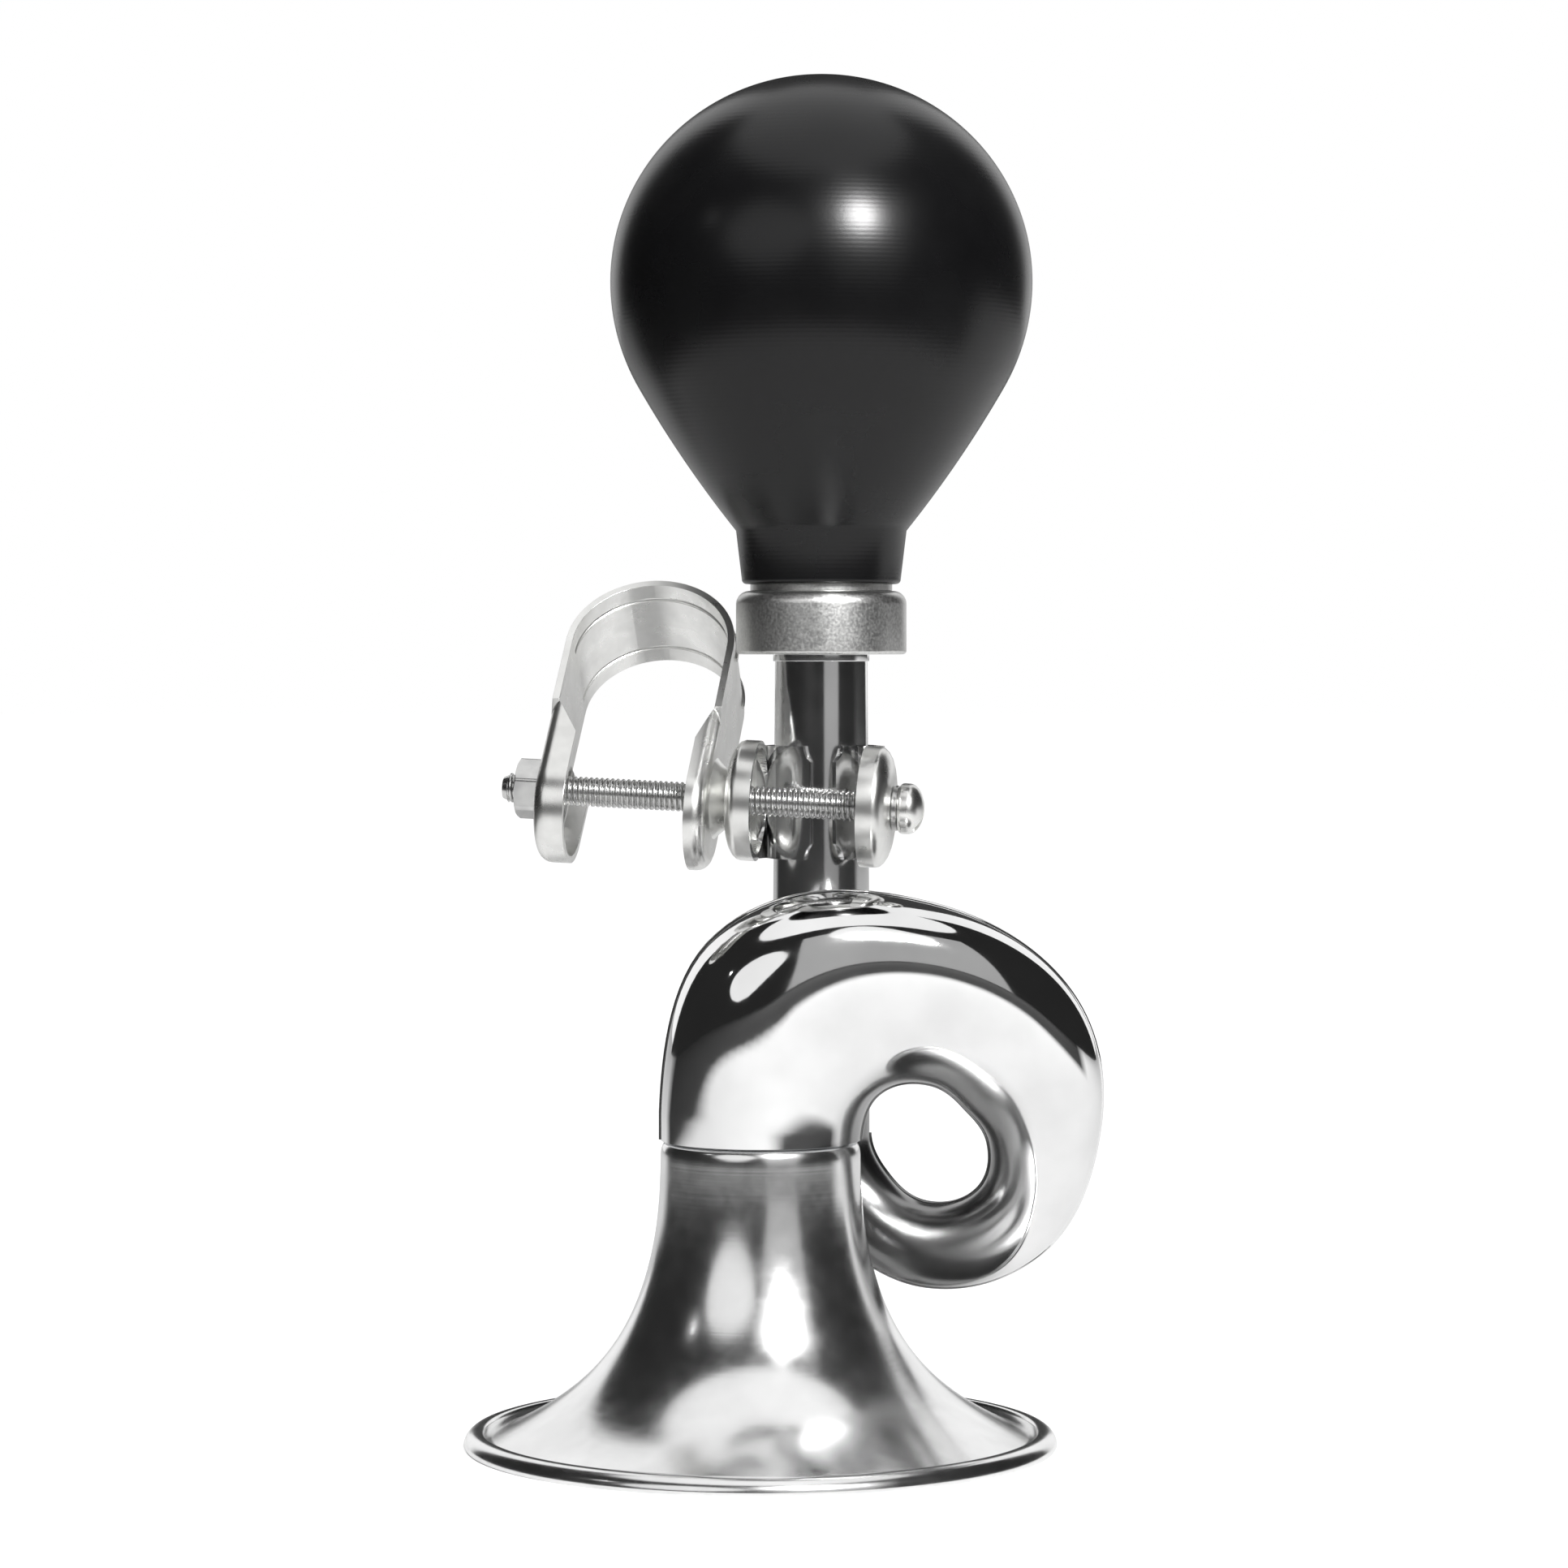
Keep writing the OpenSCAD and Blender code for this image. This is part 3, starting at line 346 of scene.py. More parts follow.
def turnedMesh(name, points, material, steps=192, sharpAngle=35):
    mesh = growMesh(name, outlineMesh(name, points), turnedTree, {"Steps": steps, "Material": material})
    finishMesh(mesh, sharpAngle)
    return mesh


# bell

bellSizes = {
    "rimRadius": 37.5, "lipWidth": 2.0, "lipHeight": 2.15, "lipRound": 0.6,
    # the rim stands on a small chamfer, and its rolled edge ends in a short hem inside
    "footIn": 0.15, "footHeight": 0.3, "hemWidth": 0.35, "hemDrop": 0.15,
    "flareIn": 1.5, "flareBase": 1.2, "throatRadius": 12.6, "height": 38.5,
    "flareLength": 9.1, "flareClose": 28.8, "wall": 0.8, "shoulder": 1.6,
    "flareRings": 90, "ringCrowding": 1.5, "steps": 288, "sharpAngle": 40,
}


def makeBellTree():
    # the rows of the flare follow the horn's own rule; side 1 is the outer face, 2 the inner one
    lengths = ["Throat Radius", "Flare Radius", "Flare Base", "Flare Length", "Flare Close", "Wall"]
    tree, values = newTree("spunBell", lengths, ["Steps"])
    position = addNode(tree, "GeometryNodeInputPosition")
    values["height"] = addNode(tree, "ShaderNodeSeparateXYZ", {0: position}).outputs["Y"]
    values["side"] = addNode(tree, "GeometryNodeInputNamedAttribute", {"Name": "side"}, data_type="FLOAT")
    power = 5.0  # how suddenly the flare closes on the throat
    addFormula(tree, values, [
        # radius = throat + (flare - throat) * exp(-(up / length + (up / close) ^ power))
        ("up", "SUBTRACT", "height", "Flare Base"),
        ("nearTerm", "DIVIDE", "up", "Flare Length"),
        ("closed", "DIVIDE", "up", "Flare Close"),
        ("farTerm", "POWER", "closed", power),
        ("bothTerms", "ADD", "nearTerm", "farTerm"),
        ("fall", "MULTIPLY", "bothTerms", -1.0),
        ("fade", "EXPONENT", "fall"),
        ("spread", "SUBTRACT", "Flare Radius", "Throat Radius"),
        ("open", "MULTIPLY", "spread", "fade"),
        ("radius", "ADD", "Throat Radius", "open"),
        # its slope, and how much longer the slanted wall is than an upright one
        ("lowerPower", "POWER", "closed", power - 1),
        ("timesPower", "MULTIPLY", "lowerPower", power),
        ("farRate", "DIVIDE", "timesPower", "Flare Close"),
        ("nearRate", "DIVIDE", 1.0, "Flare Length"),
        ("rate", "ADD", "nearRate", "farRate"),
        ("narrowing", "MULTIPLY", "open", "rate"),
        ("slope", "MULTIPLY", "narrowing", -1.0),
        ("slopeSquare", "MULTIPLY", "slope", "slope"),
        ("slantSquare", "ADD", "slopeSquare", 1.0),
        ("slant", "SQRT", "slantSquare"),
        # the inner face lies one wall thickness further in, square to the outer one
        ("inside", "SUBTRACT", "side", 1.0),
        ("inward", "MULTIPLY", "Wall", "inside"),
        ("radiusLoss", "DIVIDE", "inward", "slant"),
        ("newRadius", "SUBTRACT", "radius", "radiusLoss"),
        ("sloped", "MULTIPLY", "inward", "slope"),
        ("rise", "DIVIDE", "sloped", "slant"),
        ("newHeight", "ADD", "height", "rise"),
    ])
    spot = addNode(tree, "ShaderNodeCombineXYZ", {"X": values["newRadius"], "Y": values["newHeight"]})
    onFlare = addNode(tree, "FunctionNodeCompare", {"A": values["side"], "B": 0.5},
                      operation="GREATER_THAN", data_type="FLOAT")
    shaped = addNode(tree, "GeometryNodeSetPosition", {
        "Geometry": values["Geometry"], "Selection": onFlare, "Position": spot})
    turned = revolve(tree, shaped, values["Steps"])
    closeTree(tree, turned, values["Material"])
    return tree


def makeBell(s):
    crest = s["rimRadius"] - s["lipWidth"]
    flareRadius = crest - s["flareIn"]
    bore = s["throatRadius"] - s["wall"]
    high = s["height"] - s["shoulder"]
    rise, rings = high - s["flareBase"], s["flareRings"]
    heights = [s["flareBase"] + rise * (i / rings) ** s["ringCrowding"] for i in range(rings + 1)]
    lip = [(flareRadius, 0), (s["rimRadius"] - s["footIn"], 0)]
    lip += arc(crest, s["footHeight"], s["lipWidth"], 0, 90, 14, s["lipHeight"] - s["footHeight"])
    lip += arc(crest, s["lipHeight"] - s["lipRound"], s["lipRound"], 100, 180, 6)
    hem, low = crest - s["lipRound"], s["flareBase"] - s["hemDrop"]
    lip += [(hem, low), (hem - s["hemWidth"], low)]
    shoulder = arc(bore, high, s["wall"], 10, 90, 9, s["shoulder"])
    # the tree works out the flare's radii, so here they are left at 1
    points = lip + [(1, z) for z in heights] + shoulder + [(1, z) for z in reversed(heights)]
    sides = [0.0] * len(lip) + [1.0] * len(heights) + [0.0] * len(shoulder) + [2.0] * len(heights)
    base = outlineMesh("bellOutline", points)
    base.attributes.new("side", "FLOAT", "POINT").data.foreach_set("value", sides)
    mesh = growMesh("bell", base, makeBellTree(), {
        "Throat Radius": s["throatRadius"] * mm, "Flare Radius": flareRadius * mm,
        "Flare Base": s["flareBase"] * mm, "Flare Length": s["flareLength"] * mm,
        "Flare Close": s["flareClose"] * mm, "Wall": s["wall"] * mm,
        "Steps": s["steps"], "Material": spunChrome})
    finishMesh(mesh, s["sharpAngle"])
    addPiece("spunBell", mesh, spunChrome, "horn", ["bell"])


makeBell(bellSizes)
print("bell done")


# curled tube

curlSizes = {
    "wall": 0.8, "loopX": 21.4, "loopZ": 37.7, "stemX": 7.8, "stemY": 17.9,
    # one value for every eighth of a turn, from the stem round to the bell
    "gap": [7.3, 7.2, 8.6, 9.0, 7.6, 6.6, 8.0, 9.4, 8.8],
    "half": [6.3, 5.3, 5.4, 5.8, 6.9, 9.8, 11.4, 14.3, 12.6],
    "deep": [6.3, 5.3, 5.4, 5.8, 6.9, 8.35, 10.6, 11.4, 12.6],
    # the front half bulges more, and its ridge stands further out from the loop
    "frontDeep": [6.3, 5.3, 5.4, 5.8, 6.7, 7.9, 10.8, 13.6, 12.6],
    "frontRidge": [0, 0, 0, 0, -0.5, 2.2, 4.2, 4.3, 0],
    "socketTop": 66, "socketLow": 60.2, "socketFoot": 58.6, "socketRadius": 7.15,
    "neckRings": 8, "stemRadius": 6.3, "stemRings": (56, 53, 50, 47, 44, 41),
    "bellTop": 38.7, "bellRadius": bellSizes["throatRadius"],
    "spigotRadius": 11.7, "spigotStep": 0.02, "spigotEnd": 34.5,
    "seam": 0.1, "arcs": 40, "turnStep": 2.5, "swingEnd": 270, "lastTurn": 352.5, "sharpAngle": 40,
    "beadWidth": 0.9, "beadHeight": 0.25, "beadLift": 0.03,
}


def curlValue(column, turn):
    # a smooth curve through the column's values, at a turn in degrees
    last = len(column) - 1
    eighth = 360 / last
    k = min(int(turn // eighth), last - 1)
    u = turn / eighth - k
    if k == last - 1:
        u = (u + sin(pi * u / 2)) / 2  # the tube comes down on the bell without a waist
    a, b, c, d = (column[max(0, min(last, i))] for i in (k - 1, k, k + 1, k + 2))
    return b + 0.5 * u * (c - a + u * (2 * a - 5 * b + 4 * c - d + u * (3 * (b - c) + d - a)))


def curlRing(s, turn):
    # centre, direction out from the loop, half width, half depth, wall, front half depth and ridge
    columns = ("gap", "half", "deep", "frontDeep", "frontRidge")
    gap, half, deep, front, ridge = (curlValue(s[key], turn) for key in columns)
    a = radians(180 + turn)
    reach = gap + half
    # the tube swings from the stem's plane to the bell's
    y = s["stemY"] * (1 + cos(pi * turn / s["swingEnd"])) / 2 if turn < s["swingEnd"] else 0
    centre = Vector((s["loopX"] + reach * cos(a), y, s["loopZ"] + reach * sin(a)))
    return centre, Vector((cos(a), 0, sin(a))), half, deep, s["wall"], front, ridge


def loopRings(s):
    return [curlRing(s, i * s["turnStep"]) for i in range(int(s["lastTurn"] / s["turnStep"]) + 1)]


def roundRing(x, y, z, radius, wall):
    return Vector((x, y, z)), Vector((-1, 0, 0)), radius, radius, wall, radius, 0


def curlRings(s):
    x, y, wall = s["stemX"], s["stemY"], s["wall"]
    rings = [roundRing(x, y, s["socketTop"], s["socketRadius"], wall)]
    # the socket narrows to the tube in a short smooth neck
    for i in range(s["neckRings"] + 1):
        u = i / s["neckRings"]
        ease = u * u * (3 - 2 * u)
        z = s["socketLow"] + (s["socketFoot"] - s["socketLow"]) * u
        radius = s["socketRadius"] + (s["stemRadius"] - s["socketRadius"]) * ease
        rings.append(roundRing(x, y, z, radius, wall))
    rings += [roundRing(x, y, z, s["stemRadius"], wall) for z in s["stemRings"]]
    rings += loopRings(s)
    # the end seats on the bell, and its spigot goes down the throat
    rings += [roundRing(0, 0, s["bellTop"], s["bellRadius"], s["bellRadius"] - s["spigotRadius"] + wall),
              roundRing(0, 0, s["bellTop"] - s["spigotStep"], s["spigotRadius"], wall),
              roundRing(0, 0, s["spigotEnd"], s["spigotRadius"], wall)]
    return rings


def makeCurlHalf(s, side, name, node):
    # side -1 is the front shell, 1 the back one
    arcs = s["arcs"]
    count = 2 * (arcs + 1)
    rings = curlRings(s)
    points = []
    for centre, out, half, back, wall, front, ridge in rings:
        deep, shift = (front, ridge) if side < 0 else (back, 0)
        for j in range(count):
            inner = j > arcs
            a = pi * (count - 1 - j if inner else j) / arcs
            w = wall if inner else 0
            lift = s["seam"] / 2 + (deep - s["seam"] / 2 - w) * sin(a)
            reach = (half - w) * cos(a) + shift * sin(a) ** 2
            points.append((centre + out * reach + Vector((0, side * lift, 0))) * mm)
    faces = []
    for i in range(len(rings) - 1):
        for j in range(count):
            a, b = i * count + j, i * count + (j + 1) % count
            faces.append((a, b, b + count, a + count))
    for start in (0, (len(rings) - 1) * count):
        end = start + count - 1
        faces += [(start + j, start + j + 1, end - j - 1, end - j) for j in range(arcs)]
    mesh = meshFrom(name, points, [], faces)
    finishMesh(mesh, s["sharpAngle"])
    addPiece(name, mesh, pressedChrome, "horn", [node])


def makeSeamTree():
    # a half-round bead of solder that follows a path; its width and height are inputs
    tree, given = newTree("seamBead", ["Width", "Height"], [])
    path = addNode(tree, "GeometryNodeMeshToCurve", {"Mesh": given["Geometry"]})
    out = addNode(tree, "GeometryNodeInputNamedAttribute", {"Name": "out"}, data_type="FLOAT_VECTOR")
    level = addNode(tree, "GeometryNodeSetCurveNormal", {"Curve": path, "Normal": out}, mode="FREE")
    ring = addNode(tree, "GeometryNodeCurvePrimitiveCircle", {"Resolution": 14, "Radius": 0.5})
    deep = addNode(tree, "ShaderNodeMath", {0: given["Height"], 1: 2.0}, operation="MULTIPLY")
    size = addNode(tree, "ShaderNodeCombineXYZ", {"X": deep, "Y": given["Width"], "Z": 1.0})
    bead = addNode(tree, "GeometryNodeTransform", {"Geometry": ring, "Scale": size})
    swept = addNode(tree, "GeometryNodeCurveToMesh", {
        "Curve": level, "Profile Curve": bead, "Fill Caps": True})
    closeTree(tree, swept, given["Material"])
    return tree


seamTree = makeSeamTree()


def makeSeam(s, side, name, node):
    # the bead follows the shells' edge and ends on the bell
    rings = loopRings(s)
    rings.append(roundRing(0, 0, s["bellTop"], s["bellRadius"], s["wall"]))
    points = [(centre + out * side * (half + s["beadLift"])) * mm for centre, out, half, *rest in rings]
    path = meshFrom(name, points, [(i, i + 1) for i in range(len(points) - 1)], [])
    directions = [v for ring in rings for v in ring[1] * side]
    path.attributes.new("out", "FLOAT_VECTOR", "POINT").data.foreach_set("vector", directions)
    mesh = growMesh(name, path, seamTree, {
        "Width": s["beadWidth"] * mm, "Height": s["beadHeight"] * mm, "Material": pressedChrome})
    finishMesh(mesh, s["sharpAngle"])
    addPiece(name, mesh, pressedChrome, "horn", [node])


makeCurlHalf(curlSizes, -1, "curlFrontShell", "curl_front_half")
makeCurlHalf(curlSizes, 1, "curlBackShell", "curl_back_half")
makeSeam(curlSizes, 1, "seamOutside", "curl_seam_outer")
makeSeam(curlSizes, -1, "seamInside", "curl_seam_inner")
print("curled tube done")


# stem, collar and ferrule

stemSizes = {
    "x": curlSizes["stemX"], "y": curlSizes["stemY"], "bottomZ": 61, "topZ": 101.2,
    "bottomRadius": curlSizes["stemRadius"], "topRadius": 5.95, "wall": 0.8,
    "collarZ": 99.0, "collarHeight": 0.85, "collarLip": 0.25, "collarRound": 0.12, "gap": 0.05,
}
ferruleSizes = {
    "z": 99.9, "radius": 11.05, "height": 8.2, "round": 1.7, "foot": 0.5, "floor": 1.3, "cupRadius": 8.45,
}


def stemRadius(z, s=stemSizes):
    narrowing = s["topRadius"] - s["bottomRadius"]
    return s["bottomRadius"] + narrowing * (z - s["bottomZ"]) / (s["topZ"] - s["bottomZ"])


onStem = Matrix.Translation((stemSizes["x"] * mm, stemSizes["y"] * mm, 0))


def makeOnStem(name, points, material, node):
    mesh = turnedMesh(name, points, material)
    mesh.transform(onStem)
    addPiece(name, mesh, material, "horn", [node])


def makeStem(s, f):
    tube = [(s["bottomRadius"] - s["wall"], s["bottomZ"]), (s["bottomRadius"], s["bottomZ"]),
            (s["topRadius"], s["topZ"]), (s["topRadius"] - s["wall"], s["topZ"])]
    makeOnStem("stem", tube, drawnChrome, "stem_tube")

    low, high, edge = s["collarZ"], s["collarZ"] + s["collarHeight"], s["collarRound"]
    inner, outer = stemRadius(low) + s["gap"], stemRadius(low) + s["collarLip"]
    collar = [(inner, low), (outer - edge, low)] + arc(outer - edge, low + edge, edge, -90, 0, 4)
    collar += [(outer, high), (inner, high)]
    makeOnStem("stemCollar", collar, drawnChrome, "stem_collar")

    z, top, inner = f["z"], f["z"] + f["height"], stemRadius(f["z"]) + s["gap"]
    cup = [(inner, z)] + arc(f["radius"] - f["foot"], z + f["foot"], f["foot"], -90, 0, 10)
    cup += arc(f["radius"] - f["round"], top - f["round"], f["round"], 0, 90, 20)
    cup += [(f["cupRadius"], top), (f["cupRadius"], z + f["floor"]), (inner, z + f["floor"])]
    makeOnStem("ferruleCup", cup, ferruleNickel, "ferrule")


makeStem(stemSizes, ferruleSizes)
print("stem and ferrule done")


# bulb

bulbSizes = {
    "z": 109.0, "radius": 27.3, "centreHeight": 39.0, "crownHeight": 26.7, "wall": 2.2,
    "neckLow": 10.3, "neckTop": 11.05, "neckHeight": 6.9, "flankAngle": 30.0, "edge": 0.6,
    "boreRadius": 7.4, "boreHeight": 10.6, "squeezeKeep": 0.79, "steps": 256, "sharpAngle": 50,
}


def pearOutline(s, wall):
    # an arc that leaves the sphere smoothly and ends at the top of the neck, then the crown
    f = radians(s["flankAngle"])
    away = Vector((cos(f), -sin(f)))
    corner = Vector((s["neckTop"], s["neckHeight"] - s["centreHeight"]))
    extra = (corner.dot(corner) - s["radius"] ** 2) / (2 * (s["radius"] - corner.dot(away)))
    centre = -extra * away
    low = degrees(atan2(corner.y - centre.y, corner.x - centre.x))
    points = arc(centre.x, centre.y, s["radius"] + extra - wall, low, -s["flankAngle"], 30)
    points += arc(0, 0, s["radius"] - wall, -s["flankAngle"], 0, 16)[1:]
    points += arc(0, 0, s["radius"] - wall, 0, 90, 44, s["crownHeight"] - wall)[1:]
    return points


def makeBulb(s):
    low = s["z"]
    middle = low + s["centreHeight"]
    outside = [(s["boreRadius"], low), (s["neckLow"] - s["edge"], low)]
    outside += arc(s["neckLow"] - s["edge"], low + s["edge"], s["edge"], -80, 0, 8)
    outside += [(r, z + middle) for r, z in pearOutline(s, 0)]
    inside = [(r, z + middle) for r, z in pearOutline(s, s["wall"]) if r > s["boreRadius"] or z > 0]
    points = outside + list(reversed(inside)) + [(s["boreRadius"], low + s["boreHeight"])]
    mesh = turnedMesh("bulb", [(max(r, 0.0), z) for r, z in points], blackRubber, s["steps"], s["sharpAngle"])
    mesh.transform(onStem)
    bulb = addPiece("squeezeBulb", mesh, blackRubber, "bulb_plug", ["bulb"])
    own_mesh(bulb)


makeBulb(bulbSizes)
print("bulb done")


# clamp

clampSizes = {
    "boltZ": 80.8, "turn": 9.0, "tilt": 2.7, "boltY": 8.7,
    "edgeRound": 0.16, "flatWithin": 0.6, "sharpAngle": 38, "bandHalf": 7.2,
}
boltSizes = {
    "tail": -40.2, "point": 0.7, "pointIn": 0.3, "head": 11.4, "radius": 1.9, "pitch": 0.7,
    "threadDepth": 0.24, "rowsPerTurn": 8, "around": 32,
    "headRadius": 3.25, "headHeight": 3.2, "headEdge": 0.6, "headDome": 2.0,
    "slotWidth": 0.9, "slotDepth": 1.1, "slotTurn": 68, "slotEdge": 0.12, "slotOver": 1,
}
washerSizes = {
    "x": 10.65, "bore": 1.95, "radius": 2.9, "height": 0.7, "split": 7.0, "edge": 0.1, "steps": 90,
}
nutSizes = {
    "x": -38.2, "flats": 7.0, "height": 3.3, "turn": 10.0, "coneIn": 0.5, "coneOut": 0.3, "coneHeight": 0.5,
    "bore": 1.95, "countersink": 0.3, "cornerRound": 0.1, "angleStep": 2,
}


def alongBolt(x, s=clampSizes):
    # turns a form drawn along Z to run along the bolt, towards its head
    return (onStem @ Matrix.Translation((0, 0, s["boltZ"] * mm))
            @ Matrix.Rotation(radians(-s["turn"]), 4, "Z")
            @ Matrix.Translation((0, -s["boltY"] * mm, 0))
            @ Matrix.Rotation(radians(s["tilt"]), 4, "Y")
            @ Matrix.Translation((x * mm, 0, 0))
            @ Matrix.Rotation(radians(90), 4, "Y"))


def modifiedMesh(mesh, steps):
    # steps is a list of modifier kinds with their settings; the result is a plain mesh
    worker = addObject(mesh.name, mesh)
    for kind, settings in steps:
        modifier = worker.modifiers.new(kind, kind)
        for key, value in settings.items():
            setattr(modifier, key, value)
    result = plainMesh(worker)
    bpy.data.objects.remove(worker)
    return result


def pressedCopy(s, name, node, body):
    # the CAD strap with its flats joined up and its sheared edges rounded, as on pressed sheet
    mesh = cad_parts[node].data.copy()
    finishMesh(mesh)
    work = bmesh.new()
    work.from_mesh(mesh)
    bmesh.ops.dissolve_limit(work, angle_limit=radians(s["flatWithin"]), verts=work.verts, edges=work.edges)
    work.to_mesh(mesh)
    work.free()
    mesh.materials.clear()
    strap = modifiedMesh(mesh, [
        ("BEVEL", {"width": s["edgeRound"] * mm, "segments": 3, "limit_method": "ANGLE",
                   "angle_limit": radians(s["sharpAngle"])}),
        ("WEIGHTED_NORMAL", {"keep_sharp": True, "weight": 60}),
    ])
    addPiece(name, strap, brightZinc, body, [node])
    print(name, "faces:", len(strap.polygons))
    return strap


def makeStraps(s):
    tubeStrap = pressedCopy(s, "tubeStrap", "tube_strap", "tube_strap")
    # its band between the ears is polished and chromed
    tubeStrap.materials.append(drawnChrome)
    toBolt = alongBolt(0).inverted()
    for face in tubeStrap.polygons:
        face.material_index = int(abs((toBolt @ face.center).z) < s["bandHalf"] * mm)
    pressedCopy(s, "handlebarStrap", "handlebar_strap", "handlebar_strap")


def sectionMesh(name, sections, joined):
    # skins a row of closed outlines; the row closes on itself or gets flat ends
    count, rows = len(sections[0]), len(sections)
    faces = []
    for i in range(rows if joined else rows - 1):
        first, second = i * count, (i + 1) % rows * count
        for j in range(count):
            k = (j + 1) % count
            faces.append((first + j, first + k, second + k, second + j))
    if not joined:
        faces += [tuple(range(count)), tuple((rows - 1) * count + j for j in range(count))]
    return meshFrom(name, [Vector(point) * mm for section in sections for point in section], [], faces)


def makeThreadTree():
    # a round bar whose skin is pushed in along a helix, once for every pitch
    tree, values = newTree("screwThread", ["Radius", "Length", "Pitch", "Depth"], ["Around", "Rows"])
    bar = addNode(tree, "GeometryNodeMeshCylinder", {
        "Vertices": values["Around"], "Side Segments": values["Rows"],
        "Radius": values["Radius"], "Depth": values["Length"]})
    position = addNode(tree, "GeometryNodeInputPosition")
    place = addNode(tree, "ShaderNodeSeparateXYZ", {0: position}).outputs
    values.update({"x": place["X"], "y": place["Y"], "z": place["Z"]})
    addFormula(tree, values, [
        # 0 on a crest and 1 in a root
        ("angle", "ARCTAN2", "y", "x"),
        ("turnShare", "DIVIDE", "angle", 2 * pi),
        ("pitches", "DIVIDE", "z", "Pitch"),
        ("wound", "SUBTRACT", "pitches", "turnShare"),
        ("phase", "FRACT", "wound"),
        ("twice", "MULTIPLY", "phase", 2.0),
        ("centred", "SUBTRACT", "twice", 1.0),
        ("ramp", "ABSOLUTE", "centred"),
    ])
    # a narrow flat on each crest and in each root
    values["groove"] = addNode(tree, "ShaderNodeMapRange", {
        "Value": values["ramp"], "From Min": 0.3, "From Max": 0.9})
    addFormula(tree, values, [
        ("cut", "MULTIPLY", "groove", "Depth"),
        ("cutShare", "DIVIDE", "cut", "Radius"),
        ("keptShare", "SUBTRACT", 1.0, "cutShare"),
        ("newX", "MULTIPLY", "x", "keptShare"),
        ("newY", "MULTIPLY", "y", "keptShare"),
    ])
    spot = addNode(tree, "ShaderNodeCombineXYZ", {"X": values["newX"], "Y": values["newY"], "Z": values["z"]})
    cut = addNode(tree, "GeometryNodeSetPosition", {"Geometry": bar, "Position": spot})
    closeTree(tree, cut, values["Material"])
    return tree


def boltThread(s):
    length = s["head"] - s["tail"] - s["point"]
    thread = growMesh("boltThread", bpy.data.meshes.new("boltThread"), makeThreadTree(), {
        "Radius": s["radius"] * mm, "Length": length * mm, "Pitch": s["pitch"] * mm,
        "Depth": s["threadDepth"] * mm, "Around": s["around"],
        "Rows": int(length / s["pitch"] * s["rowsPerTurn"]), "Material": boltSteel})
    thread.transform(Matrix.Translation((0, 0, (s["head"] - length / 2) * mm)))
    finishMesh(thread, sharpAngle=60)
    return thread


def boltHead(s):
    edge, radius, top = s["headEdge"], s["headRadius"], s["head"] + s["headHeight"]
    outline = [(0, s["head"])] + arc(radius - edge, s["head"] + edge, edge, -90, 0, 8)
    outline += arc(0, top - s["headDome"], radius, 0, 90, 24, s["headDome"])
    head = turnedMesh("boltHead", [(max(r, 0.0), z) for r, z in outline], boltSteel, steps=96)
    # the driver's slot
    wide, low = s["slotWidth"] / 2, top - s["slotDepth"]
    long, high = radius + s["slotOver"], top + s["slotOver"]
    corners = ((-wide, low), (wide, low), (wide, high), (-wide, high))
    slot = sectionMesh("slotCutter", [[(x, y, z) for x, z in corners] for y in (-long, long)], False)
    finishMesh(slot)
    slot.transform(Matrix.Rotation(radians(s["slotTurn"]), 4, "Z"))
    cutter = addObject("slotCutter", slot)
    head = modifiedMesh(head, [
        ("BOOLEAN", {"operation": "DIFFERENCE", "object": cutter, "solver": "EXACT"}),
        ("BEVEL", {"width": s["slotEdge"] * mm, "segments": 3, "angle_limit": radians(50)}),
    ])
    bpy.data.objects.remove(cutter)
    finishMesh(head, sharpAngle=40)
    return head


def makeBolt(s):
    root = s["radius"] - s["threadDepth"]
    tip, full = s["tail"], s["tail"] + s["point"]
    outline = [(0, tip), (root - s["pointIn"], tip), (root, full), (0, full)]
    point = turnedMesh("boltPoint", outline, boltSteel, steps=48)
    whole = bmesh.new()
    for part in (boltThread(s), point, boltHead(s)):
        whole.from_mesh(part)
    mesh = bpy.data.meshes.new("bolt")
    whole.to_mesh(mesh)
    whole.free()
    addPiece("slottedBolt", mesh, boltSteel, "clamp_bolt", ["clamp_bolt"])
    # the head is polished, the thread is not
    mesh.materials.append(brightZinc)
    for face in mesh.polygons:
        face.material_index = int(face.center.z > s["head"] * mm)
    mesh.transform(alongBolt(0))


def makeWasher(s):
    edge, bore, radius, high = s["edge"], s["bore"], s["radius"], s["height"]
    outline = [(bore, edge), (bore + edge, 0), (radius - edge, 0), (radius, edge),
               (radius, high - edge), (radius - edge, high), (bore + edge, high), (bore, high - edge)]
    # the ring starts and ends at the split
    start, steps = s["split"], s["steps"]
    angles = [radians(start + (360 - 2 * start) * i / steps) for i in range(steps + 1)]
    sections = [[(r * cos(a), r * sin(a), z) for r, z in outline] for a in angles]
    mesh = sectionMesh("springWasher", sections, False)
    finishMesh(mesh)
    mesh.transform(alongBolt(s["x"]))
    addPiece("springWasher", mesh, boltSteel, "clamp_bolt", ["lock_washer"])


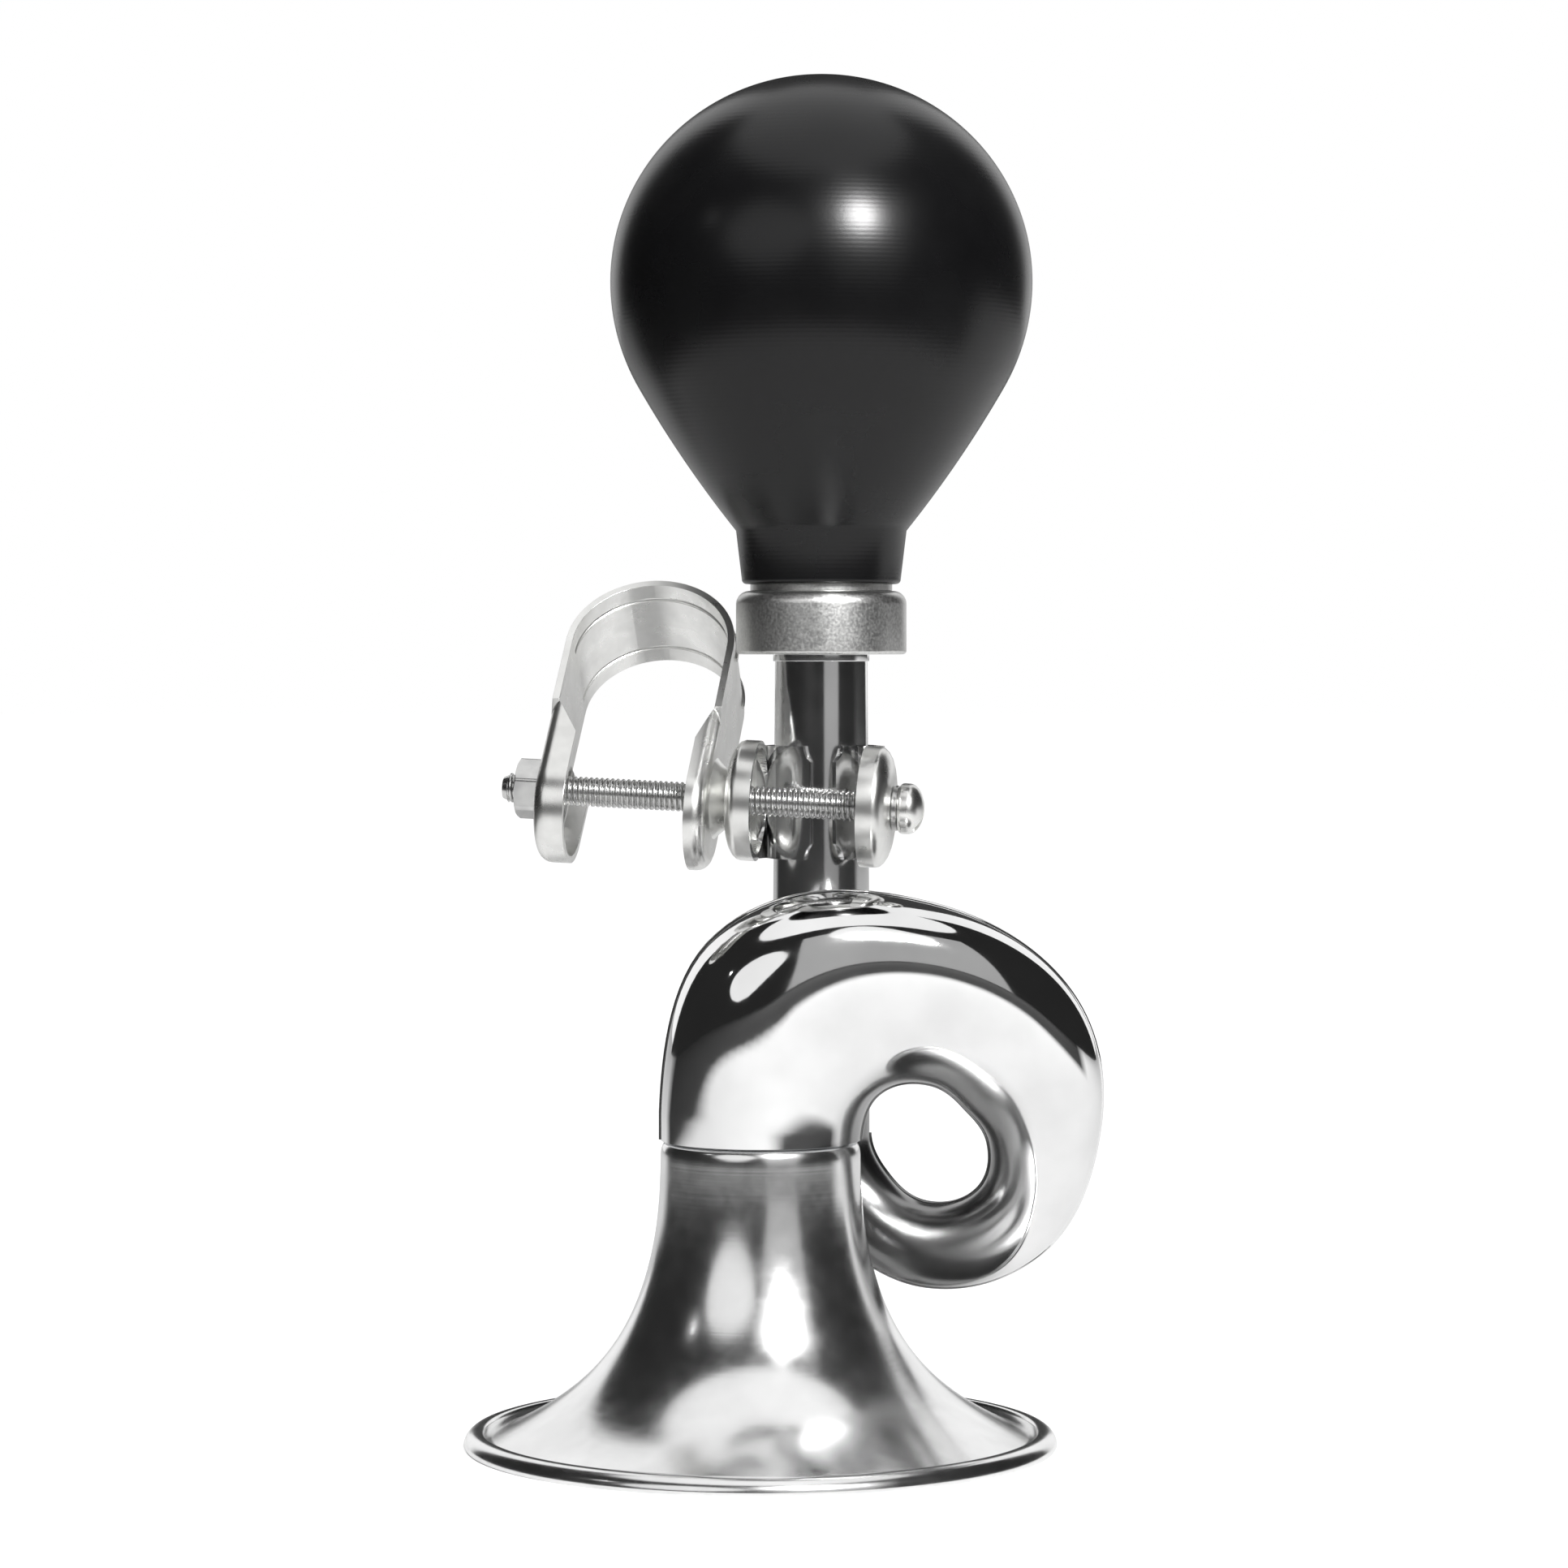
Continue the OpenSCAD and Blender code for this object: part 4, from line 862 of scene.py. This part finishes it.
def makeNut(s):
    # the chamfer's cone cuts each flat in a curve
    corner, high = s["flats"] / sqrt(3), s["height"]
    narrow, bore, sink = corner - s["coneIn"], s["bore"], s["countersink"]
    sections = []
    for angle in range(0, 360, s["angleStep"]):
        side = s["flats"] / 2 / cos(radians((angle - s["turn"]) % 60 - 30))
        side = min(side, corner - s["cornerRound"])
        rise = max(0.0, (side - narrow) * s["coneHeight"] / (s["coneIn"] + s["coneOut"]))
        low = min(side, narrow)
        outline = [(low, 0), (side, rise), (side, high - rise), (low, high),
                   (bore + sink, high), (bore, high - sink), (bore, sink), (bore + sink, 0)]
        a = radians(angle)
        sections.append([(r * cos(a), r * sin(a), z) for r, z in outline])
    mesh = sectionMesh("hexNut", sections, True)
    finishMesh(mesh, sharpAngle=25)
    mesh.transform(alongBolt(s["x"]))
    addPiece("hexNut", mesh, boltSteel, "clamp_nut", ["clamp_nut"])


makeStraps(clampSizes)
makeBolt(boltSizes)
makeWasher(washerSizes)
makeNut(nutSizes)
print("clamp done")


# CAD nodes that keep their own shape

keptNodes = {
    "throat_solder": softSolder, "stem_solder": softSolder, "ferrule_gasket": fibreSeal,
    "bulb_plug": ferruleNickel, "reed_holder": plainBrass, "reed_wedge": plainBrass,
    "reed_tongue": springBronze,
}
for node, material in keptNodes.items():
    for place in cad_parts[node].material_slots:
        place.material = material
print("kept CAD nodes painted:", len(keptNodes))


# stage, light and camera

stageSizes = {
    # cards round the horn, with their strength; a card has its azimuths along the lower and the upper
    # edge and its heights, a round card the middle and the width and height of its patch, in degrees
    "cards": {
        "rightCard": {"radius": 2200, "lower": (10, 40), "upper": (-7, 58), "heights": (-6, 48),
                      "strength": 0.42},
        "leftCard": {"radius": 2200, "azimuth": -31, "height": 26, "wide": 50, "tall": 34, "strength": 0.95},
        "rightRound": {"radius": 2180, "azimuth": 22, "height": 46, "wide": 30, "tall": 24, "strength": 1.0},
        "darkFront": {"radius": 2500, "lower": (-145, 145), "upper": (-145, 145), "heights": (-6, 60),
                      "strength": 0.02},
        "darkBack": {"radius": 2500, "lower": (167, 193), "upper": (167, 193), "heights": (-3, 47),
                     "strength": 0.05},
    },
    "cardGrid": (24, 8), "roundCorners": 48, "darkBelow": 0.1,
    # lamps: azimuth, height, distance and diameter in millimetres, watts; they point at aimHeight
    "lamps": {"keyLamp": (24, 34, 1500, 360, 30), "leftLamp": (-68, 30, 1500, 60, 0.12)}, "aimHeight": 100,
    # the table is pale near the horn and behind it; beyond the fade on all other sides the floor is painted
    # dark as the unlit room's shade
    "floorReach": 6000, "tableRadius": 240, "tableFade": 70, "darkSide": -20, "darkFrom": (-0.5, -0.3),
    "paper": "#dedede", "paintedRoomShade": "#3c3c3c", "shadowGrey": 0.3, "paperGlow": 0.87,
    # the room's light on matte surfaces; the camera and reflections see it at full strength
    "roomLight": 0.55,
    # matched to the photograph: focal length and width in its pixels, place, tilt down in degrees
    "focalPixels": 5877, "photoPixels": 1932, "sensorWidth": 36,
    "cameraPlace": (2.97, -601, 101.6), "cameraTilt": 1.715, "nearClip": 10,
}


def direction(azimuth, height):
    # azimuth 0 looks towards the camera, positive to its right
    a, h = radians(azimuth), radians(height)
    return Vector((sin(a) * cos(h), -cos(a) * cos(h), sin(h)))


def unseenMaterial(s, name, strength):
    # a card that the camera looks through; a dark one takes no light from the table either
    material, tree = newMaterial(name)
    path = addNode(tree, "ShaderNodeLightPath").outputs
    glow = addNode(tree, "ShaderNodeEmission", {"Color": (1, 1, 1, 1), "Strength": strength})
    clear = addNode(tree, "ShaderNodeBsdfTransparent")
    values = {"camera": path["Is Camera Ray"], "diffuse": path["Is Diffuse Ray"]}
    addFormula(tree, values, [
        ("passing", "MULTIPLY", "diffuse", 1.0 if strength < s["darkBelow"] else 0.0),
        ("unseen", "MAXIMUM", "camera", "passing"),
    ])
    mixed = addNode(tree, "ShaderNodeMixShader", {0: values["unseen"], 1: glow, 2: clear})
    addNode(tree, "ShaderNodeOutputMaterial", {"Surface": mixed})
    return material


def addSheet(name, points, faces, material):
    mesh = meshFrom(name, [point * mm for point in points], [], faces)
    mesh.materials.append(material)
    sheet = addObject(name, mesh)


def makeCard(s, name, card):
    # a patch of a sphere round the horn, with straight sides that may lean
    columns, rows = s["cardGrid"]
    points = []
    for j in range(rows + 1):
        v = j / rows
        left, right = (low + (high - low) * v for low, high in zip(card["lower"], card["upper"]))
        height = card["heights"][0] + (card["heights"][1] - card["heights"][0]) * v
        for i in range(columns + 1):
            points.append(direction(left + (right - left) * i / columns, height) * card["radius"])
    wide = columns + 1
    faces = [(j * wide + i, j * wide + i + 1, (j + 1) * wide + i + 1, (j + 1) * wide + i)
             for j in range(rows) for i in range(columns)]
    addSheet(name, points, faces, unseenMaterial(s, name, card["strength"]))


def makeRoundCard(s, name, card):
    corners = s["roundCorners"]
    points = []
    for i in range(corners):
        a = radians(i * 360 / corners)
        azimuth = card["azimuth"] + card["wide"] / 2 * cos(a)
        points.append(direction(azimuth, card["height"] + card["tall"] / 2 * sin(a)) * card["radius"])
    addSheet(name, points, [tuple(range(corners))], unseenMaterial(s, name, card["strength"]))


def tablePaper(s):
    # matte white paper on the table
    material, tree = newMaterial("matteTablePaper")
    path = addNode(tree, "ShaderNodeLightPath")
    place = addNode(tree, "ShaderNodeTexCoord").outputs["Object"]
    away = addNode(tree, "ShaderNodeVectorMath", {0: place}, operation="LENGTH")
    beyond = addNode(tree, "ShaderNodeMapRange", {
        "Value": away.outputs["Value"], "From Min": s["tableRadius"] * mm,
        "From Max": (s["tableRadius"] + s["tableFade"]) * mm})
    # beyond the table the floor is painted dark as the unlit room's shade, except behind the horn
    heading = addNode(tree, "ShaderNodeVectorMath", {0: place}, operation="NORMALIZE")
    towards = addNode(tree, "ShaderNodeVectorMath", {0: heading, 1: direction(s["darkSide"], 0)},
                      operation="DOT_PRODUCT")
    front = addNode(tree, "ShaderNodeMapRange", {
        "Value": towards.outputs["Value"], "From Min": s["darkFrom"][0], "From Max": s["darkFrom"][1]})
    dark = addNode(tree, "ShaderNodeMath", {0: beyond, 1: front}, operation="MULTIPLY")
    paper = addNode(tree, "ShaderNodeMix", {
        "Factor": dark, 6: linearColour(s["paper"]), 7: linearColour(s["paintedRoomShade"])},
        data_type="RGBA")
    plain = addNode(tree, "ShaderNodeBsdfDiffuse", {"Color": paper.outputs[2]})
    # the camera sees white paper that still takes the horn's shadow
    shade = addNode(tree, "ShaderNodeBsdfDiffuse", {"Color": (s["shadowGrey"],) * 3 + (1,)})
    white = addNode(tree, "ShaderNodeEmission", {"Color": (1, 1, 1, 1), "Strength": s["paperGlow"]})
    seen = addNode(tree, "ShaderNodeAddShader", {0: shade, 1: white})
    mixed = addNode(tree, "ShaderNodeMixShader", {0: path.outputs["Is Camera Ray"], 1: plain, 2: seen})
    addNode(tree, "ShaderNodeOutputMaterial", {"Surface": mixed})
    return material


def makeFloor(s):
    far = s["floorReach"]
    corners = [Vector((x, y, 0)) for x, y in ((-far, -far), (far, -far), (far, far), (-far, far))]
    addSheet("floor", corners, [(0, 1, 2, 3)], tablePaper(s))


def makeWorld(s):
    world = bpy.data.worlds.new("paleStudio")
    bpy.context.scene.world = world
    world.use_nodes = True
    tree = world.node_tree
    tree.nodes.clear()
    path = addNode(tree, "ShaderNodeLightPath").outputs
    seen = addNode(tree, "ShaderNodeMath", {0: path["Is Camera Ray"], 1: path["Is Glossy Ray"]},
                   operation="MAXIMUM")
    strength = addNode(tree, "ShaderNodeMapRange", {"Value": seen, "To Min": s["roomLight"], "To Max": 1.0})
    background = addNode(tree, "ShaderNodeBackground", {"Color": (1, 1, 1, 1), "Strength": strength})
    addNode(tree, "ShaderNodeOutputWorld", {"Surface": background})


def makeLamp(s, name, azimuth, height, distance, diameter, power):
    lamp = addObject(name, bpy.data.lights.new(name, "AREA"))
    lamp.data.shape = "DISK"
    lamp.data.size = diameter * mm
    lamp.data.energy = power
    towards = direction(azimuth, height)
    lamp.location = towards * distance * mm + Vector((0, 0, s["aimHeight"] * mm))
    lamp.rotation_euler = towards.to_track_quat("Z", "Y").to_euler()


def makeCamera(s):
    camera = addObject("camera", bpy.data.cameras.new("camera"))
    camera.data.sensor_width = s["sensorWidth"]
    camera.data.lens = s["focalPixels"] / s["photoPixels"] * s["sensorWidth"]
    camera.data.clip_start = s["nearClip"] * mm
    camera.location = Vector(s["cameraPlace"]) * mm
    camera.rotation_euler = (radians(90 - s["cameraTilt"]), 0, 0)
    bpy.context.scene.camera = camera


def makeStage(s):
    bpy.context.scene.view_settings.view_transform = "Standard"
    makeFloor(s)
    makeWorld(s)
    for name, card in s["cards"].items():
        if "wide" in card:
            makeRoundCard(s, name, card)
        else:
            makeCard(s, name, card)
    for name, lamp in s["lamps"].items():
        makeLamp(s, name, *lamp)
    makeCamera(s)


makeStage(stageSizes)
print("stage done")
